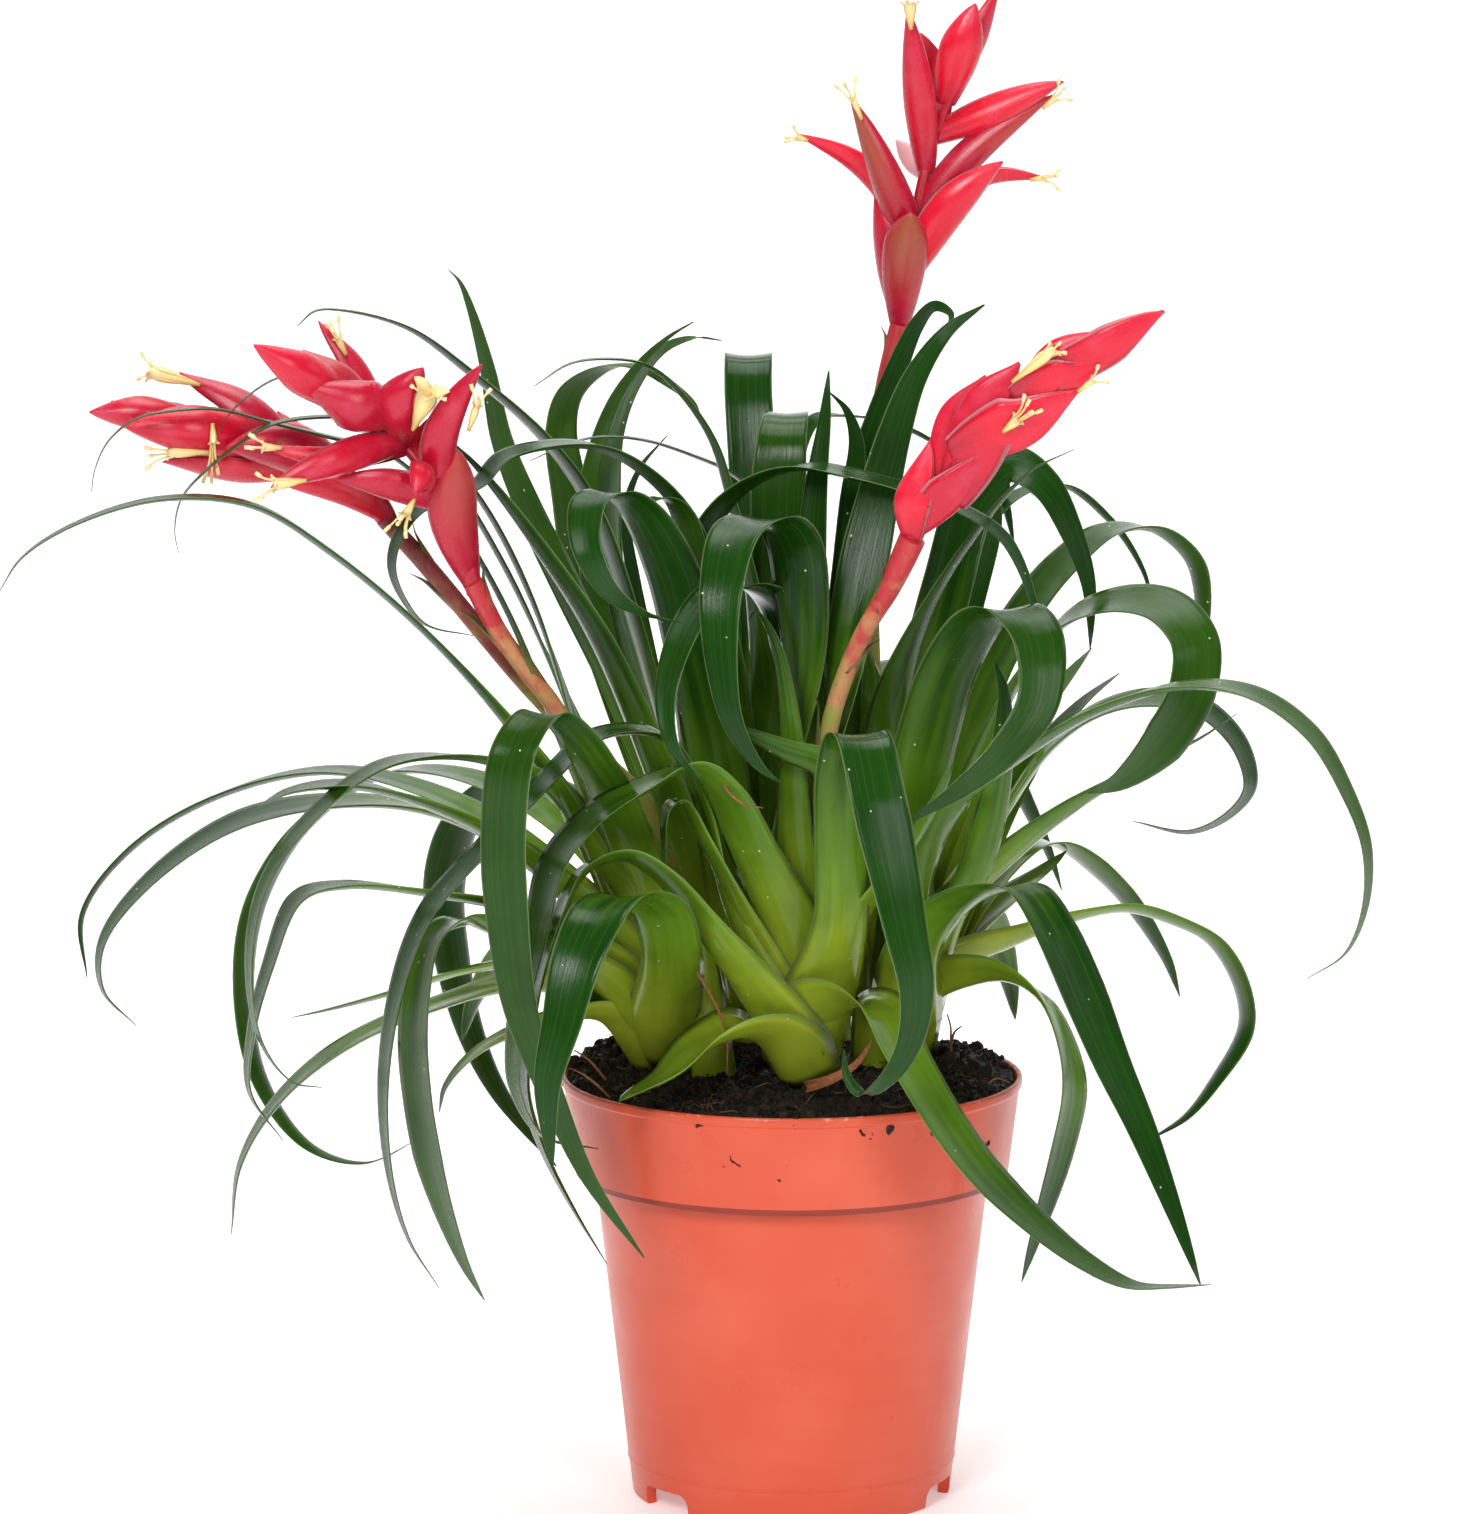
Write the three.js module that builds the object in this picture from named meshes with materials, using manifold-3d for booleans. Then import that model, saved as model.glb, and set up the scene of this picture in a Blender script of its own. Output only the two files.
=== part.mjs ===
import * as THREE from "three";
import { mergeVertices } from "three/addons/utils/BufferGeometryUtils.js";
import Module from "manifold-3d";

const wasm = await Module();
wasm.setup();

// A potted bromeliad in flower. Sizes are millimetres and +Z is up. Points are given from the
// pot's axis, with z = 0 where the pot stands, and the side seen first looks along +Y. The
// finished plant is moved so that the origin lies under the middle of its box.

// The pot
const POT_HEIGHT = 120;
const RIM_RADIUS = 65;
const FOOT_RADIUS = 45;
const WALL = 1.5;
const COLLAR_HEIGHT = 28;
const COLLAR_LOW_RADIUS = 61;
const BODY_TOP_RADIUS = 55.8;
const FLOOR_UNDERSIDE = 6.5;
const FOOT_RING_WIDTH = 3.5;
const NOTCH_WIDTH = 19;
const NOTCH_HEIGHT = 6;
const NOTCH_TURNS = [-52, 69, 189];
const POT_SIDES = 44;

// The soil
const SOIL_GAP = 0.4;
const SOIL_EDGE_HEIGHT = 118.5;
const SOIL_SIDES = 36;
const SOIL_LUMP = 1.3;

// The rosettes: where each short stem stands, and how high its lowest leaf sits
const STEM_RADIUS = 8;
const STEM_FOOT = 100;
const STEM_TOP = 152;
const LEAF_START = 121.5;
const LEAF_RISE = 26;
const ROSETTES = {
  front: new THREE.Vector3(4, -22, 0),
  left: new THREE.Vector3(-38, 0, 0),
  right: new THREE.Vector3(32, 10, 0),
  back: new THREE.Vector3(-12, 29, 0),
};
const SHEATH_WIDTHS = { front: 28, left: 22, right: 21, back: 18 };

// The leaves
const SHEATH_LENGTH = 60;
const LEVEL_FROM = 30;
const LEVEL_TO = 130;
const ROOT_SHARE = 0.5;
const LEAF_THICKNESS = 1.3;
const LEAF_GRAIN = { step: 62, bend: 30 };
const TIP_POWER = 0.7;
const FAR_LEAF_WIDTH = 15;
const FAR_LEAF_TIP = 0.38;

// The flower stalks, the gap round each, how far it reaches into its head, and the bracts
const STALK_RADIUS = 2.6;
const STALK_TOP_RADIUS = 2.3;
const STALK_GAP = 0.35;
const STALK_SOCKET = 3.5;
const BRACT_THICKNESS = 1.6;
const BRACT_GRAIN = { step: 13, bend: 30 };

// Leaves: blade width, how far the blade turns from level past its sheath and how far it twists
// on to its tip, in degrees, over what share of its length it narrows to its tip, then the points
// that the middle of the blade runs through, from near the sheath to the tip.
const LEAVES = {
  front: [
    [15, 0, 0, 0.38, [-19, -26, 174], [-26, -32, 203], [-36, -37, 221], [-53, -43, 222],
      [-66, -47, 211], [-83, -51, 193], [-99, -54, 175], [-107, -61, 155], [-111, -63, 130],
      [-110, -62, 105], [-105, -60, 85], [-97, -58, 71]],
    [18, 0, 0, 0.38, [-3, -36, 167], [-12, -44, 191], [-20, -52, 208], [-28, -56, 215],
      [-40, -58, 210], [-54, -56, 201], [-64, -58, 189], [-68, -62, 173], [-72, -66, 157],
      [-75, -65, 142], [-75, -64, 128], [-68, -63, 115], [-53, -62, 111]],
    [18, 0, 0, 0.38, [-12, -37, 148], [-24, -41, 167], [-36, -42, 182], [-46, -42, 188],
      [-56, -43, 185], [-63, -44, 173], [-69, -44, 156], [-72, -44, 139], [-73, -44, 124],
      [-68, -46, 107], [-60, -48, 91], [-51, -50, 76]],
    [16, 0, 0, 0.38, [14, -46, 169], [14, -56, 193], [14, -66, 214], [16, -76, 226],
      [19, -90, 228], [22, -98, 216], [26, -102, 198], [30, -104, 179], [33, -104, 163],
      [31, -102, 148], [25, -100, 138], [19, -98, 134], [15, -96, 138], [14, -95, 145]],
    [13, 0, 0, 0.75, [1, -34, 175], [0, -38, 204], [-1, -39, 226], [-4, -40, 245], [-7, -42, 253],
      [-10, -45, 257], [-12, -47, 255]],
    [17, 0, 0, 0.38, [0, -18, 178], [1, -22, 218], [2, -24, 252], [0, -28, 273], [-6, -38, 281],
      [-15, -50, 279], [-19, -60, 265], [-19, -64, 246], [-16, -66, 230], [-9, -66, 218],
      [-3, -66, 213]],
    [13, 0, 0, 0.38, [-16, -30, 172], [-25, -34, 192], [-31, -35, 203], [-34, -36, 201],
      [-35, -36, 190], [-34, -36, 180]],
    [15, 0, 0, 0.38, [-7, -34, 134], [-14, -40, 138], [-24, -46, 136], [-33, -54, 130],
      [-42, -62, 127], [-47, -70, 126]],
    [18, 0, 0, 0.38, [9, -34, 141], [17, -44, 148], [24, -54, 147], [30, -66, 138],
      [39, -77, 124], [50, -86, 110], [63, -92, 98], [78, -96, 87], [91, -98, 81], [103, -99, 81],
      [113, -100, 82]],
    [12, 0, 0, 0.38, [4, -11, 186], [4, -9, 228], [5, -8, 261], [7, -5, 289], [9, -3, 305],
      [10, -3, 319]],
    [14, 0, 0, 0.38, [11, 3, 183], [14, 3, 226], [16, 3, 254], [17, 3, 282], [18, 3, 299],
      [15, 1, 308], [10, 0, 313]],
    [14, 60, 0, 0.38, [9, -24, 188], [14, -24, 230], [18, -18, 257], [23, -12, 281],
      [28, -10, 301], [34, -10, 318], [43, -10, 331], [53, -9, 338]],
    [16, 0, 0, 0.38, [-1, 4, 183], [-1, 4, 226], [-3, -5, 250], [-12, -24, 261], [-22, -45, 261],
      [-30, -59, 251], [-34, -67, 236], [-32, -71, 224], [-24, -70, 213]],
    [14, 0, 0, 0.38, [15, -27, 157], [23, -40, 176], [32, -56, 193], [40, -60, 208],
      [44, -62, 219]],
    [11, 60, 0, 0.38, [14, -37, 168], [16, -42, 188], [15, -45, 205], [9, -47, 215],
      [-1, -48, 219], [-10, -48, 223], [-19, -47, 227]],
  ],
  left: [
    [12, 0, 0, 0.38, [-54, -14, 138], [-70, -20, 137], [-87, -26, 131], [-96, -30, 122],
      [-98, -32, 115]],
    [15, 0, 0, 0.38, [-54, -2, 140], [-76, -6, 145], [-99, -12, 141], [-124, -18, 131],
      [-143, -21, 116], [-154, -22, 98], [-157, -22, 78]],
    [15, 0, 0, 0.38, [-54, 10, 143], [-72, 20, 147], [-92, 32, 143], [-116, 44, 134],
      [-134, 52, 128], [-145, 56, 125]],
    [14, 0, 0, 0.38, [-55, 20, 157], [-78, 30, 180], [-104, 40, 193], [-133, 48, 198],
      [-165, 54, 190], [-191, 56, 174], [-205, 56, 155], [-204, 54, 137]],
    [18, 0, -12, 0.38, [-51, -6, 159], [-73, -8, 180], [-98, -8, 194], [-123, -10, 198],
      [-154, -14, 193], [-179, -18, 177], [-192, -20, 160], [-192, -20, 147], [-183, -20, 137]],
    [17, 0, 0, 0.2, [-56, -24, 167], [-78, -30, 189], [-103, -34, 202], [-122, -36, 207],
      [-138, -38, 206], [-147, -38, 202]],
    [12, 0, 0, 0.38, [-45, -22, 173], [-52, -22, 184], [-59, -23, 196], [-67, -25, 205],
      [-75, -28, 210], [-94, -34, 215], [-113, -40, 213], [-132, -44, 199], [-145, -46, 180],
      [-149, -46, 158], [-146, -45, 137], [-138, -44, 126], [-130, -42, 124]],
    [15, 0, 0, 0.38, [-54, -14, 156], [-76, -20, 169], [-100, -26, 175], [-124, -30, 178],
      [-136, -33, 175], [-144, -35, 157], [-149, -37, 139], [-150, -38, 122], [-141, -38, 108]],
    [13, 0, 0, 0.38, [-51, 32, 170], [-78, 50, 190], [-114, 68, 195], [-141, 78, 178],
      [-156, 82, 154], [-160, 82, 130], [-156, 80, 103], [-142, 78, 83], [-125, 76, 78],
      [-110, 74, 85]],
    [15, 0, 0, 0.38, [-48, 50, 167], [-67, 70, 187], [-84, 84, 189], [-97, 94, 175],
      [-102, 100, 155], [-100, 102, 134], [-95, 104, 112], [-87, 104, 94], [-70, 104, 71]],
    [13, 0, 0, 0.38, [-51, -18, 175], [-64, -24, 202], [-81, -28, 226], [-102, -32, 250],
      [-127, -36, 272], [-148, -38, 285], [-173, -40, 287], [-197, -42, 280], [-211, -43, 271],
      [-217, -44, 262]],
    [17, 0, 0, 0.22, [-53, -22, 148], [-69, -27, 159], [-82, -32, 166], [-92, -38, 170],
      [-99, -43, 165], [-102, -46, 152], [-103, -46, 138], [-102, -43, 121], [-99, -44, 104],
      [-95, -45, 89], [-90, -46, 75], [-85, -47, 65]],
    [13, 0, 0, 0.25, [-53, -22, 155], [-70, -24, 163], [-87, -28, 168], [-97, -32, 166],
      [-106, -34, 163]],
    [14, 0, 0, 0.38, [-39, -22, 165], [-43, -25, 183], [-49, -40, 203], [-54, -58, 216],
      [-60, -70, 227], [-67, -78, 233], [-74, -86, 225], [-77, -86, 203], [-76, -86, 179],
      [-73, -86, 156], [-65, -85, 132], [-55, -84, 108], [-40, -82, 85]],
    [17, 0, 0, 0.38, [-33, -44, 160], [-37, -66, 178], [-45, -82, 184], [-51, -94, 182],
      [-57, -102, 171], [-61, -106, 155], [-65, -107, 139], [-65, -107, 126], [-64, -106, 115]],
    [8, 0, 0, 0.38, [-48, -4, 170], [-65, -10, 216], [-81, -14, 256], [-98, -15, 284],
      [-113, -18, 298], [-126, -23, 302], [-143, -29, 307], [-157, -32, 311], [-168, -34, 311],
      [-179, -35, 309], [-187, -36, 303], [-191, -36, 295], [-192, -36, 289]],
    [8, 0, 0, 0.38, [-48, 6, 174], [-60, 2, 215], [-73, -4, 255], [-87, -12, 284],
      [-100, -20, 300], [-115, -27, 307], [-129, -33, 309], [-143, -35, 307], [-151, -34, 302],
      [-161, -31, 294], [-168, -29, 286], [-170, -28, 277], [-169, -28, 271]],
    [7, 0, 0, 0.38, [-46, 20, 175], [-62, 24, 217], [-82, 10, 264], [-101, -4, 297],
      [-117, -18, 315], [-130, -24, 321], [-142, -28, 319], [-150, -29, 314], [-155, -29, 309],
      [-158, -29, 304]],
  ],
  right: [
    [14, 0, 0, 0.38, [33, -28, 180], [43, -42, 201], [62, -55, 218], [83, -62, 232],
      [105, -65, 239], [124, -65, 237], [140, -63, 226], [150, -60, 210], [156, -58, 194],
      [156, -56, 177], [151, -54, 164], [141, -53, 157]],
    [14, 0, 0, 0.38, [44, -10, 166], [61, -16, 185], [77, -20, 198], [96, -22, 210],
      [113, -23, 219], [123, -23, 226]],
    [17, 0, 35, 0.12, [40, 4, 169], [51, 2, 203], [64, 0, 232], [77, -4, 249], [91, -11, 255],
      [103, -18, 254], [110, -26, 246], [109, -32, 234], [101, -38, 221], [90, -42, 211],
      [81, -44, 207]],
    [17, 0, 0, 0.38, [42, 34, 169], [50, 48, 208], [63, 62, 235], [77, 72, 253], [92, 78, 264],
      [105, 82, 264], [116, 84, 255], [119, 86, 242], [118, 86, 230], [114, 86, 217]],
    [16, 55, 0, 0.38, [31, 22, 177], [37, 26, 223], [45, 32, 256], [52, 36, 278], [62, 34, 288],
      [71, 30, 283], [78, 26, 271], [83, 23, 257], [84, 21, 246], [84, 20, 238]],
    [8, 0, 0, 0.38, [35, 54, 189], [46, 76, 239], [60, 92, 269], [78, 102, 275], [93, 108, 264],
      [103, 112, 249], [107, 114, 236]],
    [13, 0, 0, 0.38, [25, -4, 184], [27, -7, 222], [38, -11, 253], [52, -12, 276], [66, -12, 292],
      [78, -10, 298]],
    [18, 0, 0, 0.38, [30, -17, 181], [36, -26, 213], [44, -34, 240], [53, -44, 255],
      [60, -54, 258], [66, -62, 252], [66, -68, 236], [57, -72, 223], [45, -74, 213],
      [30, -74, 203]],
    [17, 0, 0, 0.38, [37, -8, 142], [48, -14, 149], [59, -20, 151], [69, -26, 146],
      [75, -30, 134], [77, -33, 122], [74, -35, 105], [70, -36, 90], [66, -36, 76], [64, -36, 68]],
    [17, 0, 0, 0.38, [45, 8, 147], [62, 14, 154], [79, 20, 160], [95, 26, 162], [108, 30, 158],
      [120, 34, 151], [128, 36, 137], [129, 36, 126], [121, 36, 111], [113, 34, 101],
      [102, 32, 94]],
    [17, 0, 0, 0.38, [34, -34, 161], [43, -48, 175], [54, -58, 182], [63, -66, 183],
      [70, -72, 174], [78, -77, 157], [86, -80, 138], [94, -82, 121], [103, -83, 99],
      [111, -84, 78]],
    [14, 0, 0, 0.38, [48, 22, 151], [62, 34, 164], [73, 44, 171], [79, 52, 175]],
    [16, 0, 20, 0.38, [46, 8, 167], [60, 9, 192], [73, 10, 211], [86, 9, 221], [100, 6, 225],
      [114, 2, 223], [124, -2, 214], [127, -6, 203], [122, -8, 196], [111, -10, 191],
      [95, -12, 194]],
    [14, 0, 0, 0.38, [47, 21, 172], [59, 32, 202], [74, 46, 220], [86, 58, 233]],
    [10, 0, 0, 0.38, [54, 34, 172], [68, 52, 199], [83, 66, 215], [95, 78, 223]],
    [10, 0, 0, 0.38, [34, 42, 177], [43, 58, 218], [52, 72, 245], [58, 84, 264], [59, 92, 275],
      [62, 98, 270], [65, 102, 257]],
    [11, 0, 0, 0.38, [43, -20, 165], [51, -29, 183], [56, -36, 204], [58, -40, 221],
      [58, -42, 235], [55, -44, 244]],
    [14, 70, 0, 0.38, [21, 14, 181], [20, 21, 223], [19, 24, 254], [20, 24, 283], [25, 22, 303],
      [30, 19, 318], [35, 15, 330], [40, 8, 336], [44, 5, 334], [43, 3, 330]],
  ],
  back: [
    [17, 0, 0, 0.38, [-26, 26, 176], [-37, 22, 214], [-47, 16, 250], [-57, 10, 279],
      [-70, 4, 299], [-90, -2, 318], [-107, -6, 331], [-124, -8, 336], [-132, -9, 336],
      [-137, -10, 332]],
    [15, 0, 0, 0.38, [-32, 46, 176], [-50, 56, 218], [-66, 64, 249], [-77, 72, 271],
      [-85, 78, 291], [-89, 84, 311], [-94, 88, 329], [-97, 90, 336], [-100, 92, 339]],
    [17, 0, 0, 0.38, [-29, 8, 180], [-43, -2, 218], [-56, -10, 247], [-70, -16, 270],
      [-81, -20, 286], [-89, -22, 296], [-97, -24, 304]],
    [15, 0, 0, 0.38, [-16, 14, 181], [-18, 10, 225], [-23, 4, 257], [-31, -6, 279],
      [-42, -14, 292], [-54, -20, 299], [-68, -26, 300], [-79, -28, 297], [-86, -28, 290],
      [-96, -26, 286], [-104, -25, 281], [-109, -24, 273], [-110, -24, 266], [-107, -25, 258],
      [-101, -26, 251], [-88, -27, 248]],
    [9, 0, 0, 0.38, [-9, 46, 176], [-5, 51, 219], [-3, 51, 248], [-6, 48, 271], [-16, 43, 284],
      [-29, 37, 291], [-43, 31, 296], [-57, 26, 297], [-67, 24, 294], [-74, 22, 291]],
    [10, 0, 0, 0.38, [-10, 24, 180], [-8, 25, 223], [-12, 25, 254], [-18, 23, 280],
      [-23, 20, 297], [-32, 16, 311], [-41, 12, 319], [-51, 9, 321], [-62, 6, 320], [-72, 4, 314]],
    [8, 0, 0, 0.38, [-35, 56, 174], [-50, 68, 216], [-58, 78, 247], [-60, 86, 270],
      [-58, 92, 285], [-52, 96, 301], [-44, 98, 312], [-36, 100, 319], [-29, 102, 323]],
    [9, 0, 0, 0.38, [-30, 63, 173], [-44, 82, 214], [-53, 94, 245], [-54, 102, 271],
      [-52, 108, 291], [-46, 112, 305], [-38, 114, 314], [-29, 116, 317], [-21, 118, 316]],
    [15, 0, 0, 0.38, [-33, 70, 172], [-48, 94, 207], [-60, 112, 240], [-66, 122, 268],
      [-69, 126, 289], [-66, 127, 300], [-57, 126, 307], [-45, 124, 308], [-36, 122, 303],
      [-29, 120, 297], [-27, 119, 292]],
    [8, 0, 0, 0.38, [-29, 36, 178], [-39, 44, 220], [-46, 50, 254], [-48, 54, 273],
      [-44, 58, 285], [-36, 62, 294]],
    [16, 0, 0, 0.38, [-19, 14, 173], [-25, 6, 208], [-28, -2, 241], [-28, -10, 264],
      [-31, -18, 281], [-36, -26, 286], [-42, -32, 284], [-46, -34, 280]],
    [18, 0, 0, 0.38, [-17, 2, 175], [-22, -10, 211], [-28, -22, 241], [-34, -34, 267],
      [-42, -44, 284], [-49, -52, 290], [-55, -60, 288], [-55, -66, 277], [-49, -68, 266],
      [-40, -68, 260], [-30, -66, 257]],
    [14, 0, 0, 0.1, [-12, 60, 174], [-9, 73, 216], [-10, 82, 255], [-12, 88, 287], [-13, 94, 304],
      [-13, 100, 311], [-13, 110, 312], [-14, 122, 309], [-14, 136, 303]],
    [16, 0, 0, 0.38, [-6, 34, 178], [-4, 37, 221], [-4, 38, 255], [-4, 38, 281], [-3, 41, 295],
      [-2, 48, 300], [-2, 61, 300], [-3, 76, 296], [-4, 92, 287], [-4, 102, 274]],
    [9, 0, 0, 0.38, [0, 70, 172], [-1, 90, 213], [-1, 104, 253], [1, 112, 281], [7, 114, 293],
      [17, 114, 294], [29, 114, 292], [42, 112, 286], [54, 110, 276]],
    [14, 0, 0, 0.38, [-19, 34, 178], [-25, 29, 222], [-27, 18, 252], [-23, 7, 273],
      [-13, -4, 286], [2, -15, 293], [19, -22, 291], [32, -26, 288], [46, -28, 283],
      [58, -28, 275], [66, -28, 258], [67, -28, 249], [65, -28, 243]],
  ],
};

// Leaves on the far side, by rule: rosette, bearing in degrees, reach and rise in millimetres.
const FAR_LEAVES = [
  ["back", 46, 140, 100],
  ["back", 64, 135, 38],
  ["back", 82, 110, 28],
  ["back", 99, 130, 26],
  ["right", 44, 120, 52],
  ["right", 70, 105, 34],
  ["left", 92, 95, 24],
  ["left", 126, 105, 30],
];

// Stalks: the points from above the stem to below the lowest bract.
const STALKS = {
  sword: [[6, -24, 174], [7, -29, 203], [11, -35, 227], [15, -38, 240], [20, -42, 252],
    [26, -46, 263]],
  near: [[-43, -8, 171], [-54, -17, 206], [-66, -24, 228], [-73, -28, 238], [-81, -32, 250]],
  far: [[-26, 27, 165], [-43, 21, 195], [-60, 13, 213], [-74, 6, 229], [-87, -2, 246],
    [-101, -7, 264]],
  tall: [[26, 26, 179], [23, 34, 221], [22, 38, 261], [23, 38, 292], [26, 35, 310]],
};

// Flower heads: the rosette that each rises from, its axis, how wide and deep the axis is, and its
// bracts. A bract is folded like a boat: where it grows along the axis as a share of its length,
// width, how deep the fold is against the width, where along it the bract is widest, the side that
// the keel faces, middle and tip.
const HEADS = {
  tall: {
    rosette: "right",
    axis: [[30, 34, 325], [32, 35, 340], [34, 35, 352], [36, 36, 366], [39, 37, 378],
      [42, 37, 387], [46, 37, 397]],
    core: [5, 3.6],
    bracts: [
      [0, 14, 0.45, 0.72, [0, -1, 0], [31, 27, 342], [33, 24, 361]],
      [0, 14, 0.45, 0.62, [-0.9, -0.5, 0], [25, 35, 344], [23, 36, 365]],
      [0.29, 12, 0.45, 0.3, [-0.6, -0.8, 0], [25, 30, 367], [16, 29, 393]],
      [0.36, 10, 0.5, 0.3, [-0.4, -0.6, -0.7], [18, 39, 371], [1, 38, 382]],
      [0.17, 14, 0.55, 0.55, [0.6, -0.6, -0.5], [46, 29, 358], [59, 28, 375]],
      [0.37, 11, 0.6, 0.42, [0.4, -0.6, -0.5], [51, 35, 373], [73, 36, 393]],
      [0.75, 11, 0.6, 0.42, [0.2, -0.8, -0.5], [57, 34, 386], [76, 33, 397]],
      [0.81, 9, 0.5, 0.5, [0.4, 0.5, 0.6], [49, 46, 389], [57, 50, 389]],
      [0.37, 8, 0.6, 0.5, [0.2, 0, -1], [54, 44, 367], [72, 46, 369]],
      [0.62, 10, 0.4, 0.4, [-0.4, -1, 0], [34, 30, 394], [32, 28, 418]],
      [0.84, 10, 0.3, 0.5, [-0.3, 1, 0], [39, 44, 397], [36, 46, 410]],
      [0.9, 13, 0.4, 0.55, [0.3, -1, 0], [48, 31, 405], [51, 31, 419]],
      [0.93, 11, 0.4, 0.5, [0.9, -0.2, 0], [53, 41, 406], [58, 41, 423]],
      [0.62, 8, 0.35, 0.6, [-0.9, 0.3, 0.3], [32, 42, 374], [29, 44, 380]],
    ],
  },
  sword: {
    rosette: "front",
    axis: [[31, -50, 275], [39, -53, 290], [51, -56, 307], [69, -59, 322], [85, -61, 332]],
    core: [5.5, 3.2],
    bracts: [
      [0, 8, 1.25, 0.45, [-0.85, 0, 0.5], [28, -52, 289], [37, -53, 305]],
      [0.02, 7.4, 1.5, 0.5, [0.7, 0, -0.7], [46, -54, 288], [53, -57, 302]],
      [0.12, 5, 1.8, 0.5, [-0.7, 0, 0.7], [40, -52, 313], [52, -54, 323]],
      [0.2, 6.8, 2.5, 0.5, [-0.6, 0, 0.8], [47, -56, 318], [61, -58, 327]],
      [0.33, 6, 2.6, 0.45, [0.65, 0, -0.75], [65, -58, 305], [77, -61, 319]],
      [0.55, 5.4, 2.1, 0.5, [-0.35, 0, 0.95], [69, -59, 332], [85, -61, 336]],
      [0.62, 4.8, 2.1, 0.45, [0.65, 0, -0.75], [77, -60, 320], [85, -62, 327]],
      [0.77, 4.5, 2.2, 0.5, [0.5, 0, -0.85], [87, -62, 328], [100, -63, 341]],
      [0.82, 4, 2.1, 0.5, [-0.3, 0, 0.95], [86, -61, 336], [98, -62, 340]],
    ],
  },
  near: {
    rosette: "left",
    axis: [[-87, -36, 261], [-91, -40, 276], [-96, -40, 288], [-102, -39, 297], [-107, -38, 303],
      [-111, -40, 308], [-121, -43, 315]],
    core: [5, 3.6],
    bracts: [
      [0.02, 15, 0.4, 0.66, [0.3, -1, 0], [-91, -46, 282], [-91, -49, 302]],
      [0.37, 12, 0.6, 0.45, [0.7, -0.7, 0], [-92, -52, 305], [-84, -56, 326]],
      [0.52, 12, 0.35, 0.55, [0.3, 0.9, 0.2], [-98, -33, 301], [-98, -32, 310]],
      [0.37, 13, 0.5, 0.45, [-0.2, -0.5, -0.8], [-107, -47, 288], [-124, -50, 294]],
      [0.67, 12, 0.55, 0.45, [-0.2, -0.8, -0.5], [-122, -56, 297], [-141, -62, 293]],
      [0.69, 8, 0.55, 0.45, [-0.1, -0.3, 0.9], [-126, -47, 302], [-144, -48, 303]],
      [0.78, 18, 0.45, 0.45, [0.1, -1, -0.4], [-117, -56, 311], [-131, -58, 320]],
      [0.82, 13, 0.55, 0.5, [-0.4, 0, -0.9], [-129, -43, 314], [-144, -44, 327]],
      [0.81, 13, 0.55, 0.5, [0.3, -0.2, 0.9], [-120, -46, 323], [-133, -47, 329]],
      [0.93, 13, 0.5, 0.5, [-0.1, -1, 0.2], [-132, -62, 324], [-145, -65, 332]],
      [0.74, 11, 0.6, 0.45, [0.5, 0.2, 0.7], [-118, -29, 324], [-130, -27, 335]],
      [0.68, 15, 0.5, 0.6, [0.2, -0.9, 0.3], [-104, -53, 313], [-100, -55, 325]],
      [0.49, 10, 0.5, 0.6, [0.1, -0.9, 0.3], [-98, -55, 296], [-102, -60, 291]],
    ],
  },
  far: {
    rosette: "back",
    axis: [[-111, -9, 276], [-123, -11, 288], [-138, -12, 297], [-157, -14, 304], [-175, -15, 307]],
    core: [5, 3.6],
    bracts: [
      [0, 13, 0.6, 0.5, [-0.2, -0.3, -0.9], [-124, -14, 283], [-140, -15, 288]],
      [0.12, 14, 0.45, 0.5, [0.1, 0, 1], [-128, -8, 298], [-143, -6, 308]],
      [0.23, 16, 0.45, 0.5, [-0.1, -1, -0.2], [-139, -22, 297], [-156, -24, 300]],
      [0.36, 14, 0.5, 0.5, [0.1, 0, 1], [-149, -9, 312], [-170, -8, 319]],
      [0.32, 14, 0.5, 0.55, [-0.1, 0, -1], [-153, -10, 289], [-175, -8, 294]],
      [0.56, 15, 0.45, 0.5, [0, -1, 0], [-164, -26, 304], [-184, -27, 306]],
      [0.65, 12, 0.45, 0.5, [0, 0, 1], [-170, -10, 310], [-189, -8, 311]],
      [0.85, 11, 0.5, 0.5, [0, -1, 0.2], [-179, -20, 309], [-194, -19, 309]],
    ],
  },
};

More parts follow.
